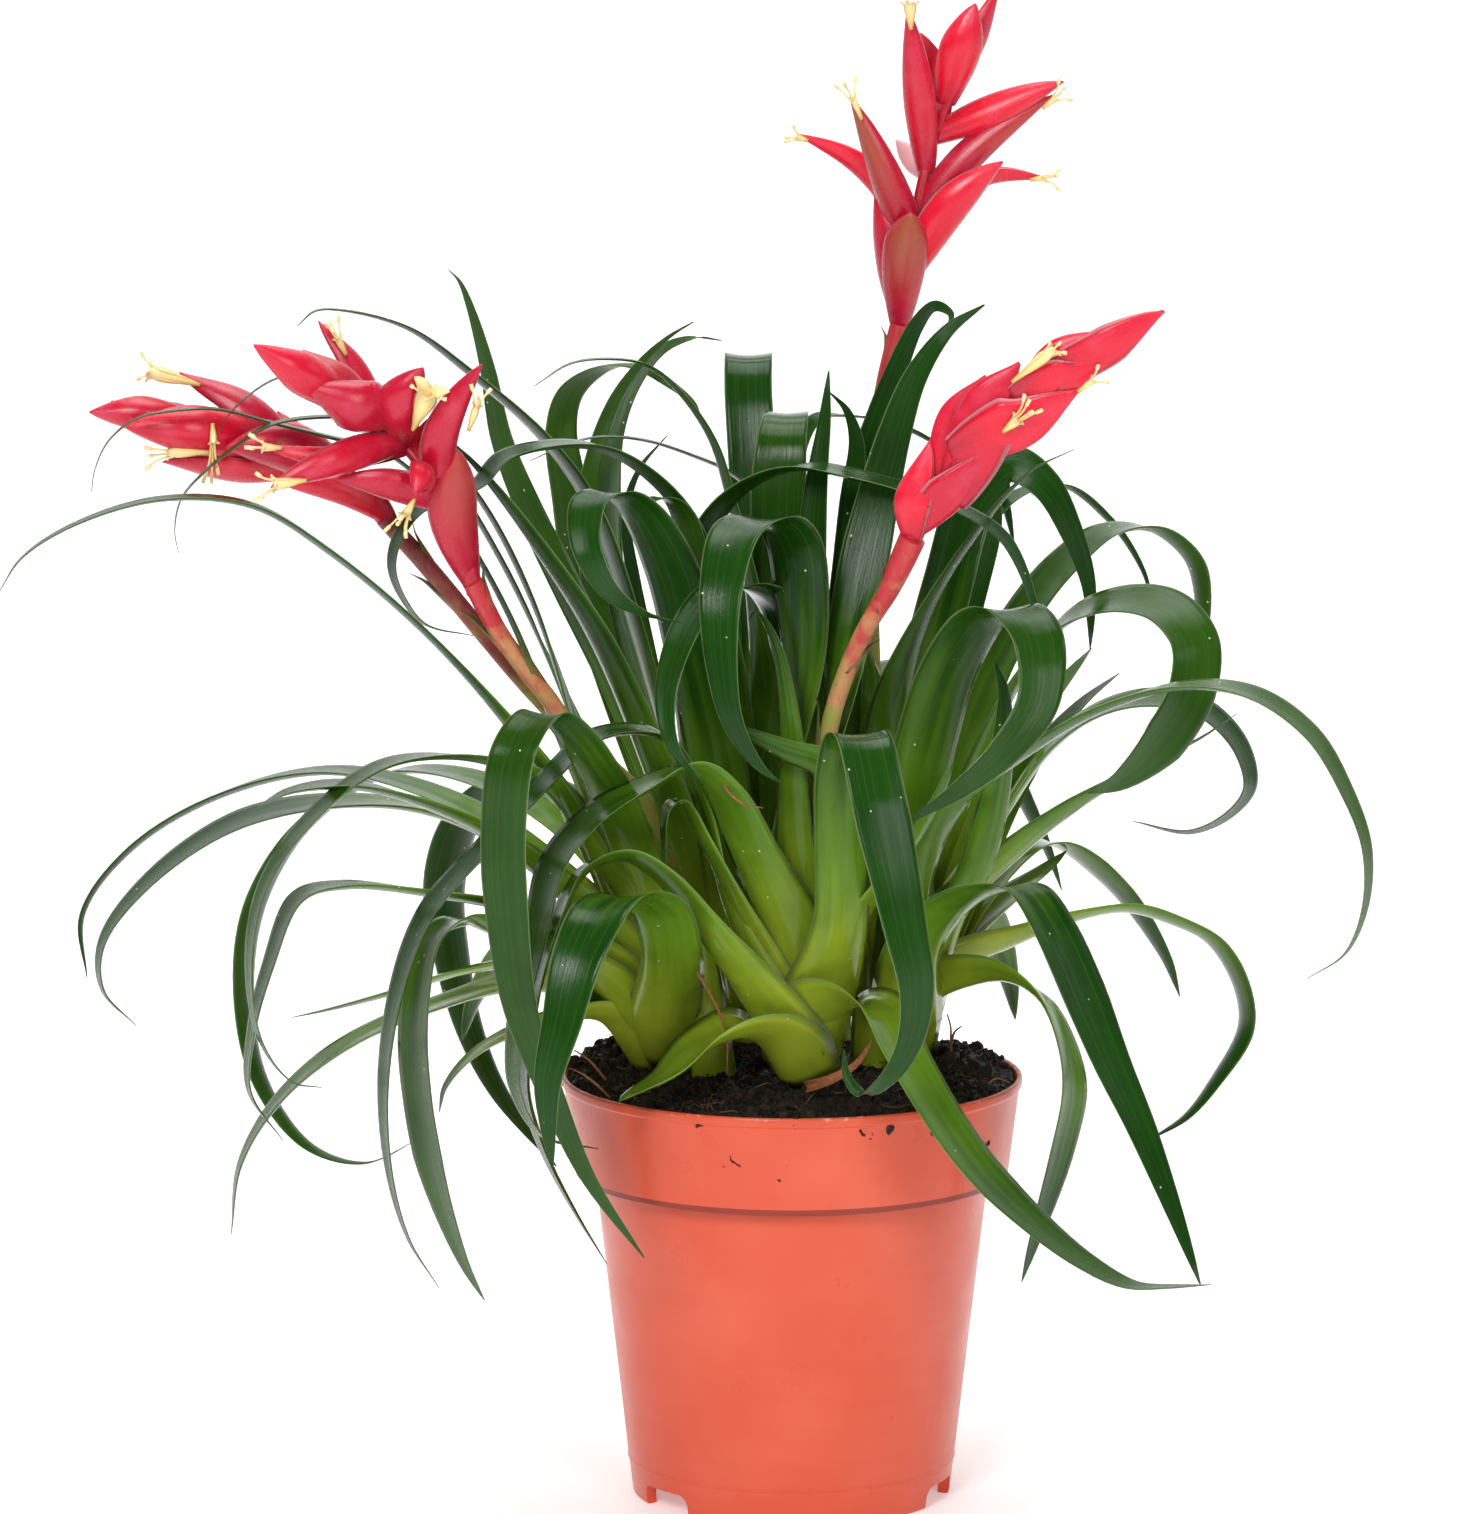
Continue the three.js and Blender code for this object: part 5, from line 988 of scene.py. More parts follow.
def boat_rings(places, width_at, fold, thickness, rows):
    """Rings round a bract, half an ellipse in section, thin at both edges."""
    rings, uvs = [], []
    for place in places:
        width = width_at(place.share)
        slim = math.sqrt(max(0.45, 1 - (0.9 * fold) ** 2))
        top, under, spots = [], [], []
        for k in range(rows):
            s = 2 * k / (rows - 1) - 1
            angle = s * math.pi / 2
            middle = (place.at + place.across * (width / 2 * slim * math.sin(angle))
                      + place.inner * (width * fold * (1 - math.cos(angle)) ** 0.9))
            outward = (place.across * (fold * math.sin(angle)) - place.inner * (slim / 2 * math.cos(angle)))
            outward.normalize()
            thick = min(thickness, 0.3 + 0.08 * width) * (1 - abs(s) ** 3) / 2
            top.append(middle - outward * thick)
            under.append(middle + outward * thick)
            spots.append(((s + 1) / 2, place.length / BLADE_UNIT))
        rings.append(top + under[-2:0:-1])
        uvs.append(spots + spots[-2:0:-1])
    return rings, uvs


def blade_rings(places, width_at, rise_at, thickness, rows):
    """Rings round a blade whose edges turn to the inner side, thin at both edges."""
    rings, uvs = [], []
    for place in places:
        width = width_at(place.share)
        rise = rise_at(place.share)
        top, under, spots = [], [], []
        for k in range(rows):
            s = 2 * k / (rows - 1) - 1
            lift = width * rise * s ** 2
            inset = math.sqrt(max(0.1, 1 - (1.1 * rise) ** 2))
            middle = place.at + place.across * (s * width / 2 * inset) + place.inner * lift
            thick = min(thickness, 0.2 + 0.09 * width) * (1 - abs(s) ** 2.6) / 2
            top.append(middle + place.inner * thick)
            under.append(middle - place.inner * thick)
            spots.append(((s + 1) / 2, place.length / BLADE_UNIT))
        rings.append(top + under[-2:0:-1])
        uvs.append(spots + spots[-2:0:-1])
    return rings, uvs


def bearing_of(centre, points):
    flat = points[0] - centre
    flat.z = 0
    return flat.normalized()


def steepness(centre, row):
    start = row["points"][0] - centre
    return math.atan2(start.z - LEAF_START, math.hypot(start.x, start.y))


def far_leaf(centre, row):
    """A leaf by rule rises along its bearing, arches over and hangs."""
    _, bearing, reach, rise = row
    angle = math.radians(bearing)
    points = []
    for t in (0.22, 0.45, 0.7, 0.9, 1):
        out = reach * min(t, 0.35 + 0.6 * t)
        height = rise * math.sin(math.pi * min(t, 0.62 + 0.2 * t)) - FAR_LEAF_DROOP * t ** 4
        points.append(Vector((centre.x + out * math.cos(angle), centre.y + out * math.sin(angle),
                              LEAF_START + FAR_LEAF_LIFT + height)))
    return {"width": FAR_LEAF_WIDTH, "turn": 0, "twist": 0, "tip": FAR_LEAF_TIP, "points": points}


def rosette_mesh(name, thickness):
    """Every leaf of one rosette, each a closed blade."""
    centre = Vector(ROSETTES[name])
    rows = [{"width": w, "turn": turn, "twist": twist, "tip": tip, "points": vectors(points)}
            for w, turn, twist, tip, *points in LEAVES[name]]
    rows += [far_leaf(centre, row) for row in FAR_LEAVES if row[0] == name]
    rows.sort(key=lambda row: steepness(centre, row))
    chance = seeded(sum(map(ord, name)))
    shell = Shell()
    for i, row in enumerate(rows):
        start = LEAF_START + LEAF_RISE * i / len(rows)
        add_leaf(shell, centre, start, SHEATH_WIDTHS[name], row, thickness, next(chance))
    return shell.mesh("leaves_" + name)


def add_leaf(shell, centre, start, sheath, row, thickness, shade):
    outward = bearing_of(centre, row["points"])
    root = centre + outward * (STEM_RADIUS - ROOT_INSET)
    root.z = start
    path = Path([root, *row["points"]])
    reach = max(row["points"], key=lambda p: math.hypot(p.x - root.x, p.y - root.y)) - root
    level = UP.cross(reach).normalized()
    places = places_on(path, 7, 6, UP.cross(outward), level, row["turn"], row["twist"])
    broad = sheath * min(1, row["width"] / STRAP_WIDTH) * SHEATH_BREADTH

    def width_at(share):
        along = share * path.length
        strap = mix(broad, row["width"], smooth(along / SHEATH_LENGTH))
        strap *= mix(ROOT_SHARE, 1, smooth(along / ROOT_LENGTH))
        return max(LEAST_LEAF_WIDTH, strap * min(1, ((1 - share) / row["tip"]) ** TIP_POWER))

    def rise_at(share):
        sheathed = 1 - smooth(share * path.length / (SHEATH_LENGTH * 1.1))
        return BLADE_HOLLOW + SHEATH_HOLLOW * sheathed

    rings, uvs = blade_rings(places, width_at, rise_at, thickness, 11)
    growth = [min(1.0, place.length / FULL_GREEN) for place in places]
    shell.loft(rings, uvs, growth, shade)


def bract_places(head, row):
    share, _, _, _, outward, *points = row
    base = Path(vectors(HEADS[head]["axis"])).spot(share)
    path = Path([base, *vectors(points)])
    along = (Vector(points[0]) - base).normalized()
    across = (-Vector(outward)).cross(along).normalized()
    return places_on(path, 1.6, 6, across)


def head_mesh(name, thickness):
    """The axis of a flower head and its bracts, folded like boats."""
    head = HEADS[name]
    chance = seeded(sum(map(ord, name)) + 3)
    shell = Shell()
    axis = Path(vectors(head["axis"]))
    width, depth = head["core"]
    sides = 16
    turns = [2 * math.pi * k / sides for k in range(sides)]
    rings, uvs = [], []
    for place in places_on(axis, 3, 8, Vector((1, 0, 0.3))):
        slim = 1 - 0.6 * place.share
        rings.append([place.at + place.across * (width / 2 * slim * math.cos(a))
                      + place.inner * (depth / 2 * slim * math.sin(a)) for a in turns])
        uvs.append([(0.5, place.length / BLADE_UNIT)] * sides)
    shell.loft(rings, uvs)
    for i, row in enumerate(head["bracts"]):
        places = bract_places(name, row)

        def width_at(share, broad=row[1], peak=row[3], foot=LOW_BRACT_FOOT if i < 2 else BRACT_FOOT):
            if share < peak:
                swell = mix(foot, 0.5, share / peak)
            else:
                swell = 0.5 + 0.5 * (share - peak) / (1 - peak)
            return max(0.4, broad * max(0.0, math.sin(math.pi * swell)) ** 0.8)
        rings, uvs = boat_rings(places, width_at, row[2], thickness, 17)
        shade = BRACT_SHADES.get((name, i), DUSK.get(name, 0.0) + 0.3 * next(chance))
        shell.loft(rings, uvs, [place.share for place in places], shade)
    return shell.mesh("bracts_" + name)


def stalk_path(name):
    head = HEADS[name]
    centre = Vector(ROSETTES[head["rosette"]])
    axis = Path(vectors(head["axis"]))
    foot = [centre + UP * (STEM_TOP - STALK_SINK), centre + UP * (STEM_TOP + STALK_RISE)]
    return Path([*foot, *vectors(STALKS[name]), axis.spot(STALK_REACH / axis.length)])


def stalk_bract(shell, row, radius):
    """A small pointed bract that clasps its stalk and leaves it towards its tip."""
    name, share, side, length, width = row
    path = stalk_path(name)
    foot, along = path.spot(share), path.direction(share)
    left = along.cross(Vector((0, 1, 0))).normalized()
    angle = math.radians(side)
    out = left * math.cos(angle) + left.cross(along) * math.sin(angle)
    points = [foot + along * (up * length) + out * (radius + off)
              for up, off in ((0, -0.3), (0.35, 0.3), (0.75, 1.2), (1, 2.8))]
    add_blade(shell, Path(points), along.cross(out), width, 0.8, 0.4)


def add_blade(shell, path, across, width, power, rise, grown=1.0):
    """A thin blade that narrows from its foot to its tip."""
    places = places_on(path, 1.2, 10, across)
    rings, uvs = blade_rings(places, lambda share: max(0.2, width * (1 - share) ** power),
                             lambda share: rise * (1 - share) + 0.05, 0.6, 9)
    shell.loft(rings, uvs, [place.share * grown for place in places])


def flower_axes(row):
    """Where a flower starts and ends, its direction and the two ways across it."""
    base, end = Vector(row[1]), Vector(row[2])
    along = (end - base).normalized()
    side = along.cross(Vector((0, 1, 0))).normalized()
    return base, end, along, side, side.cross(along)


def petals_mesh(row, name):
    """Three petals rolled into a tube, with their tips turned out."""
    base, end, along, side, front = flower_axes(row)
    flare = row[3]
    shell = Shell()
    for i in range(3):
        angle = 2 * math.pi * (i + 0.25) / 3
        out = side * math.cos(angle) + front * math.sin(angle)
        path = Path([base + out * 0.35, base.lerp(end, 0.55) + out * (0.62 * flare),
                     end + out * (0.95 * flare), end + along * (0.5 * flare) + out * (1.75 * flare)])
        places = places_on(path, 0.7, 9, along.cross(out))

        def width_at(share):
            tip = min(1.0, (1 - share) / 0.3) ** 0.5
            return max(0.25, 2.0 * mix(0.6, flare, smooth(share * 1.4)) * tip)
        rings, uvs = blade_rings(places, width_at, lambda share: 0.34, 0.5, 9)
        shell.loft(rings, uvs, [place.share for place in places])
    return shell.mesh(name)


def stamen_lines(row, chance):
    """The stamens of a flower, spreading from its mouth."""
    _, end, along, side, front = flower_axes(row)
    _, _, _, flare, stamens, reach = row
    stems = []
    for i in range(stamens):
        angle = 2 * math.pi * (i + next(chance)) / stamens
        sideways = side * math.cos(angle) + front * math.sin(angle)
        root = end - along * 1.2 + sideways * (0.5 * flare)
        bend = root + along * (0.6 * reach) + sideways * 1.2
        tip = (root + along * (reach * (0.9 + 0.3 * next(chance)))
               + sideways * (2.5 + 1.5 * next(chance)))
        stem = Path([root, bend, tip])
        stems.append([stem.spot(k / 24) for k in range(25)])
    return stems


def round_ring(radius, height_at, sides):
    """A ring of points about the pot's axis, at the height that a function of x and y gives."""
    ring = []
    for i in range(sides):
        x = radius * math.cos(2 * math.pi * i / sides)
        y = radius * math.sin(2 * math.pi * i / sides)
        ring.append(Vector((x, y, height_at(x, y))))
    return ring


def level_rings(profile, sides):
    """A level ring for each radius and height of a profile."""
    return [round_ring(radius, lambda x, y, z=height: z, sides) for radius, height in profile]


def rounded(profile):
    """A profile whose corners are rounded: each row is radius, height and the rounding."""
    points = []
    for k, (x, z, bend) in enumerate(profile):
        here = Vector((x, z))
        if not bend:
            points.append((x, z))
            continue
        before = Vector(profile[k - 1][:2]) - here
        after = Vector(profile[k + 1][:2]) - here
        a, c = here + before.normalized() * bend, here + after.normalized() * bend
        for i in range(6):
            t = i / 5
            spot = a * (1 - t) ** 2 + here * (2 * t * (1 - t)) + c * t ** 2
            points.append((spot.x, spot.y))
    return points


def pot_mesh(settings):
    """The pot, turned from a profile from its floor's middle round to the middle again, and cut."""
    height, wall = settings.height / MM, settings.wall / MM
    rim, foot = settings.rim_radius / MM, settings.foot_radius / MM
    collar, floor, groove = height - COLLAR_HEIGHT, FLOOR_HEIGHT, GROOVE_HEIGHT
    neck = BODY_TOP_RADIUS

    def side(z):
        return mix(foot, neck, z / collar)
    profile = [
        (0, floor, 0),
        (side(floor) - 3.5, floor, 0),
        (foot - 3.2, 0, 0.6),
        (foot, 0, 0.8),
        (side(groove), groove, 0),
        (side(groove) + 0.35, groove + 0.25, 0.15),
        (side(groove + 0.6) + 0.1, groove + 1.2, 0.3),
        (neck, collar + 1.4, 0.5),
        (COLLAR_FOOT_RADIUS - 1.5, collar + 1.0, 0.6),
        (COLLAR_FOOT_RADIUS - 0.9, collar, 0.3),
        (COLLAR_FOOT_RADIUS, collar, 0.4),
        (rim - 0.75, height - 3.0, 0.3),
        (rim, height - 2.4, 0.35),
        (rim, height, 0.8),
        (rim - wall, height, 0.6),
        (COLLAR_FOOT_RADIUS - 0.1 - wall, collar + wall, 0.5),
        (neck - wall, collar + wall - 0.1, 0.5),
        (side(8) - wall, floor + wall, 0.6),
        (0, floor + wall, 0),
    ]
    shell = Shell()
    shell.loft(level_rings(rounded(profile), POT_SIDES))
    holder = bpy.data.objects.new("pot_uncut", shell.mesh("pot_shell", POT_SHARP))
    bpy.context.scene.collection.objects.link(holder)
    cutters = [notch_cutter(turn, foot) for turn in NOTCH_TURNS]
    for cutter in cutters:
        cut = holder.modifiers.new("notch", "BOOLEAN")
        cut.operation = "DIFFERENCE"
        cut.solver = "EXACT"
        cut.object = cutter
    graph = bpy.context.evaluated_depsgraph_get()
    mesh = bpy.data.meshes.new_from_object(holder.evaluated_get(graph), depsgraph=graph)
    for spare in (holder, *cutters):
        bpy.data.objects.remove(spare)
    mesh.name = "pot_shell"
    return tidy_mesh(mesh, POT_SHARP)


def notch_cutter(turn, foot):
    """A block with a round-cornered top, which cuts one notch out of the foot ring."""
    half, bend = NOTCH_WIDTH / 2, NOTCH_CORNER
    shoulder = NOTCH_HEIGHT - bend
    outline = [(-half, -1), (half, -1), (half, shoulder)]
    outline += [(half - bend + bend * math.cos(a), shoulder + bend * math.sin(a))
                for a in (0.3, 0.6, 0.95, 1.3, math.pi / 2)]
    outline += [(-x, z) for x, z in reversed(outline[3:])] + [(-half, shoulder)]
    turned = Matrix.Rotation(math.radians(turn), 3, "Z")
    shell = Shell()
    rings = [[turned @ Vector((x, y, z)) for x, z in outline] for y in (-foot - 8, -foot + 12)]
    shell.loft(rings)
    cutter = bpy.data.objects.new("notch", shell.mesh("notch"))
    bpy.context.scene.collection.objects.link(cutter)
    return cutter


def soil_height(x, y):
    """Flat at the rim, a little higher in the middle and heaped to the left and right behind."""
    radius = math.hypot(x, y)
    heap = sum(top * math.exp(-((x - left) ** 2 + (y - near) ** 2) / spread)
               for top, left, near, spread in HEAPS)
    edge = smooth((CALM_RADIUS - radius) / CALM_WIDTH)
    spot = Vector((x, y, 0.0))
    lumps = 1.8 * noise.fractal(spot / 9, 0.7, 2.1, 5) + 1.2 * noise.fractal(spot / 2.6, 0.8, 2.0, 3)
    return SOIL_EDGE + heap + SOIL_CROWN * (1 - (radius / 65) ** 2) + lumps * mix(0.5, 1, edge)


def soil_mesh():
    """One heaped body that fills the pot, lumpy on top."""
    rings = level_rings(SOIL_FOOT, SOIL_SIDES)
    rings += [round_ring(SOIL_RADIUS * (1 - k / 60) ** 0.8, soil_height, SOIL_SIDES)
              for k in range(61)]
    shell = Shell()
    shell.loft(rings)
    return shell.mesh("soil_body")


# What a user would change

def colour_setting(name, description, default):
    return bpy.props.FloatVectorProperty(name=name, description=description, subtype="COLOR", size=4,
                                         min=0, max=1, default=default)


def length_setting(name, description, default):
    return bpy.props.FloatProperty(name=name, description=description, default=default,
                                   unit="LENGTH", precision=4)


class PotSettings(bpy.types.PropertyGroup):
    rim_radius: length_setting("Rim radius", "From the axis to the outside of the rim", 0.065)
    foot_radius: length_setting("Foot radius", "From the axis to the outside of the foot ring", 0.045)
    height: length_setting("Height", "From the foot to the rim", 0.12)
    wall: length_setting("Wall", "Thickness of the plastic", 0.0015)
    colour: colour_setting("Colour", "The plastic", rgb(214, 84, 56))


class SoilSettings(bpy.types.PropertyGroup):
    dark: colour_setting("Damp", "The darkest peat", rgb(13, 9, 9))
    light: colour_setting("Dry", "Peat that has dried", rgb(34, 24, 20))
    crumb_density: bpy.props.FloatProperty(
        name="Crumb density", description="Crumbs on each square metre of soil",
        default=100000.0, min=0)
    largest_crumb: length_setting("Largest crumb", "Radius of the largest crumb", 0.0026)


class LeafSettings(bpy.types.PropertyGroup):
    thickness: length_setting("Thickness", "Of a wide leaf, at its middle", 0.0012)
    base: colour_setting("Sheath", "Where leaves clasp the stem", rgb(152, 168, 44))
    middle: colour_setting("Lower blade", "Above the sheath", rgb(92, 132, 30))
    top: colour_setting("Blade", "The arching part", rgb(26, 68, 15))
    margin: colour_setting("Margin", "The thin line along both edges", rgb(140, 170, 104))


class HeadSettings(bpy.types.PropertyGroup):
    stalk_radius: length_setting("Stalk radius", "At the foot of a stalk", 0.0026)
    bract_thickness: length_setting("Bract thickness", "Of a bract, at its keel", 0.0013)
    bract: colour_setting("Bract", "The body of a bract", rgb(228, 14, 42))
    bract_foot: colour_setting("Bract foot", "Where a bract leaves the axis", rgb(176, 14, 44))
    bract_margin: colour_setting("Bract margin", "The pale line along its edges", rgb(246, 170, 178))
    stalk_low: colour_setting("Stalk foot", "The lower half of a stalk", rgb(160, 164, 72))
    stalk_high: colour_setting("Stalk top", "Below the bracts", rgb(200, 46, 58))
    petal: colour_setting("Flower", "Tubes and stamens", rgb(247, 222, 150))


class StageSettings(bpy.types.PropertyGroup):
    floor: colour_setting("Floor", "Floor and backdrop", (0.9, 0.9, 0.9, 1.0))
    key_power: bpy.props.FloatProperty(
        name="Key light", description="Power of the large soft light", default=28.0, min=0,
        unit="POWER")


class Tool:
    """What the operators share."""

    bl_options = {"REGISTER", "UNDO"}

    @classmethod
    def settings(cls, name):
        return getattr(bpy.context.scene, "bromeliad_" + name)


class BROMELIAD_OT_stage(Tool, bpy.types.Operator):
    """Makes the floor, the lights and the camera."""

    bl_idname = "bromeliad.make_stage"
    bl_label = "Make stage"

    def execute(self, context):
        settings = self.settings("stage")
        make_floor(settings.floor)
        make_lights(settings.key_power)
        make_camera()
        return {"FINISHED"}


class BROMELIAD_OT_pot(Tool, bpy.types.Operator):
    """Makes the pot."""

    bl_idname = "bromeliad.make_pot"
    bl_label = "Make pot"

    def execute(self, context):
        settings = self.settings("pot")
        material = pot_plastic(tuple(settings.colour))
        add_piece(pot_mesh(settings), material, ["pot"])
        return {"FINISHED"}


class BROMELIAD_OT_soil(Tool, bpy.types.Operator):
    """Makes the soil, its crumbs and its fibres."""

    bl_idname = "bromeliad.make_soil"
    bl_label = "Make soil"

    def execute(self, context):
        settings = self.settings("soil")
        dark, light = tuple(settings.dark), tuple(settings.light)
        soil = soil_surface("Soil", dark, light)
        crumbs = soil_surface("Soil crumbs", dark, rgb(56, 38, 28))
        body = soil_mesh()
        tree = scatter_tree()
        for name, share, size, detail in (("soil_crumbs", 1.0, 0.5, 2), ("soil_lumps", 0.24, 1.0, 3)):
            strewn = grown(body.copy(), tree, {
                "Crumbs per square metre": settings.crumb_density * share, "Detail": detail,
                "Smallest": settings.largest_crumb * size * 0.3,
                "Largest": settings.largest_crumb * size, "Seed": detail, "Material": crumbs,
            }, name)
            add_piece(strewn, crumbs)
        add_piece(body, soil, ["soil"])
        fibre = soil_surface("Soil fibres", rgb(70, 44, 30), rgb(140, 104, 70))
        fibres = grown(curve_through("fibre_lines", fibre_lines()), tube_tree(), {
            "Foot radius": 0.00022, "Tip radius": 0.0001, "Sides": 5, "Material": fibre,
        }, "soil_fibres")
        add_piece(fibres, fibre)
        return {"FINISHED"}


def fibre_lines():
    """Short crooked fibres that lie on the soil."""
    chance = seeded(11)
    lines = []
    for _ in range(FIBRES):
        radius, angle = 60 * next(chance) ** 0.5, 2 * math.pi * next(chance)
        x, y = radius * math.cos(angle), radius * math.sin(angle)
        heading = 2 * math.pi * next(chance)
        line = []
        for _ in range(6 + int(5 * next(chance))):
            if math.hypot(x, y) > 61.5:
                break
            line.append(Vector((x, y, soil_height(x, y) + 0.4 + 1.6 * next(chance))))
            heading += 1.1 * (next(chance) - 0.5)
            x += 1.7 * math.cos(heading)
            y += 1.7 * math.sin(heading)
        if len(line) > 2:
            lines.append(line)
    return lines


class BROMELIAD_OT_rosettes(Tool, bpy.types.Operator):
    """Makes the leaves of the four rosettes."""

    bl_idname = "bromeliad.make_rosettes"
    bl_label = "Make rosettes"

    def execute(self, context):
        settings = self.settings("leaf")
        material = leaf_surface(*(tuple(getattr(settings, part))
                                  for part in ("base", "middle", "top", "margin")))
        for name in ROSETTES:
            mesh = rosette_mesh(name, settings.thickness / MM)
            add_piece(mesh, material, ["rosette_" + name])
        inner = Shell()
        for width, *points in INNER_LEAVES:
            add_blade(inner, Path(vectors(points)), Vector((1, 0, 0)), width, 0.4, 0.3, 0.35)
        add_piece(inner.mesh("inner_leaves"), material)
        return {"FINISHED"}


class BROMELIAD_OT_stalks(Tool, bpy.types.Operator):
    """Makes the four flower stalks."""

    bl_idname = "bromeliad.make_stalks"
    bl_label = "Make stalks"

    def execute(self, context):
        settings = self.settings("head")
        low, high = tuple(settings.stalk_low), tuple(settings.stalk_high)
        pale = stalk_surface(low, rgb(206, 146, 96), high)
        dusky = stalk_surface(low, rgb(150, 92, 66), rgb(140, 48, 54))
        tree = tube_tree()
        for name, swelling in STALK_SWELLINGS.items():
            path = stalk_path(name)
            line = [path.spot(i / 90) for i in range(91)]
            material = dusky if name == "far" else pale
            mesh = grown(curve_through(name, [line]), tree, {
                "Foot radius": settings.stalk_radius, "Tip radius": settings.stalk_radius * 0.95,
                "Swelling": swelling, "Swelling from": 0.8, "Swelling to": 1.0,
                "Sides": 20, "Material": material,
            }, "stalk_stem_" + name)
            add_piece(mesh, material, ["stalk_" + name])
        return {"FINISHED"}


class BROMELIAD_OT_details(Tool, bpy.types.Operator):
    """Makes the small bracts on the stalks and the dry bits among the leaves."""

    bl_idname = "bromeliad.make_details"
    bl_label = "Make details"

    def execute(self, context):
        clasping, withered = Shell(), Shell()
        for row in STALK_BRACTS:
            stalk_bract(clasping, row, self.settings("head").stalk_radius / MM)
        green = tissue_surface("Stalk bract", rgb(150, 96, 62), rgb(92, 104, 44), rgb(60, 66, 34),
                               rgb(120, 124, 70))
        add_piece(clasping.mesh("stalk_sheaths"), green)
        add_blade(withered, Path(vectors(WITHERED)), Vector((0, 0.4, 1)), 3.6, 0.5, 0.3)
        brown = tissue_surface("Dry leaf", rgb(104, 56, 30), rgb(150, 88, 50), rgb(116, 66, 40),
                               rgb(196, 140, 92))
        add_piece(withered.mesh("withered_sheath"), brown)
        lines = [[Path(vectors(points)).spot(k / 16) for k in range(17)] for points in TWIGS]
        twigs = grown(curve_through("twig_lines", lines), tube_tree(), {
            "Foot radius": 0.0005, "Tip radius": 0.0002, "Sides": 8, "Material": brown,
        }, "dry_twigs")
        add_piece(twigs, brown)
        return {"FINISHED"}


class BROMELIAD_OT_heads(Tool, bpy.types.Operator):
    """Makes the bracts of the four flower heads."""

    bl_idname = "bromeliad.make_heads"
    bl_label = "Make flower heads"

    def execute(self, context):
        settings = self.settings("head")
        material = bract_surface(tuple(settings.bract), tuple(settings.bract_foot),
                                 tuple(settings.bract_margin))
        for name in HEADS:
            mesh = head_mesh(name, settings.bract_thickness / MM)
            add_piece(mesh, material, ["bracts_" + name])
        return {"FINISHED"}


class BROMELIAD_OT_flowers(Tool, bpy.types.Operator):
    """Makes the flowers that push out of the bracts."""

    bl_idname = "bromeliad.make_flowers"
    bl_label = "Make flowers"

    def execute(self, context):
        material = tissue_surface("Flower", rgb(206, 178, 92), tuple(self.settings("head").petal),
                                  rgb(248, 232, 180), rgb(230, 200, 124))
        tree = tube_tree()
        chance = seeded(7)
        for i, row in enumerate(FLOWERS):
            name = "flower_%s_%d" % (row[0], i)
            stamens = grown(curve_through(name, stamen_lines(row, chance)), tree, {
                "Foot radius": 0.0003, "Tip radius": 0.00028, "Swelling": 2.0,
                "Swelling from": 0.72, "Swelling to": 0.8, "Sides": 8, "Material": material,
            }, "stamens_" + name)
            add_piece(petals_mesh(row, "petals_" + name), material, [name])
            add_piece(stamens, material)
        return {"FINISHED"}


# The stage

def make_floor(colour):
    """A pale floor that curves up into a backdrop."""
    turns = [math.pi / 2 * k / 16 for k in range(17)]
    profile = [(FLOOR_FRONT, 0.0)]
    profile += [(FLOOR_BACK + FLOOR_CURVE * math.sin(a), FLOOR_CURVE - FLOOR_CURVE * math.cos(a))
                for a in turns]
    profile.append((FLOOR_BACK + FLOOR_CURVE, FLOOR_REACH))
    points = [(x, y, z) for y, z in profile for x in (-FLOOR_REACH, FLOOR_REACH)]
    faces = [(2 * k, 2 * k + 1, 2 * k + 3, 2 * k + 2) for k in range(len(profile) - 1)]
    mesh = bpy.data.meshes.new("studio_floor")
    mesh.from_pydata(points, [], faces)
    mesh.polygons.foreach_set("use_smooth", [True] * len(faces))
    floor = bpy.data.objects.new("studio_floor", mesh)
    bpy.context.scene.collection.objects.link(floor)
    material, tree, shader = new_material("Studio floor")
    cloud = grain(tree, object_place(tree), 3.0, 2.0)
    set_surface(tree, shader, blend(tree, between(tree, cloud, 0.3, 0.7, 0.0, 0.03), colour,
                                    (0.8, 0.8, 0.8, 1.0)), 0.7,
                plain={"Emission Color": (1.0, 1.0, 1.0, 1.0), "Emission Strength": FLOOR_GLOW})
    mesh.materials.append(material)


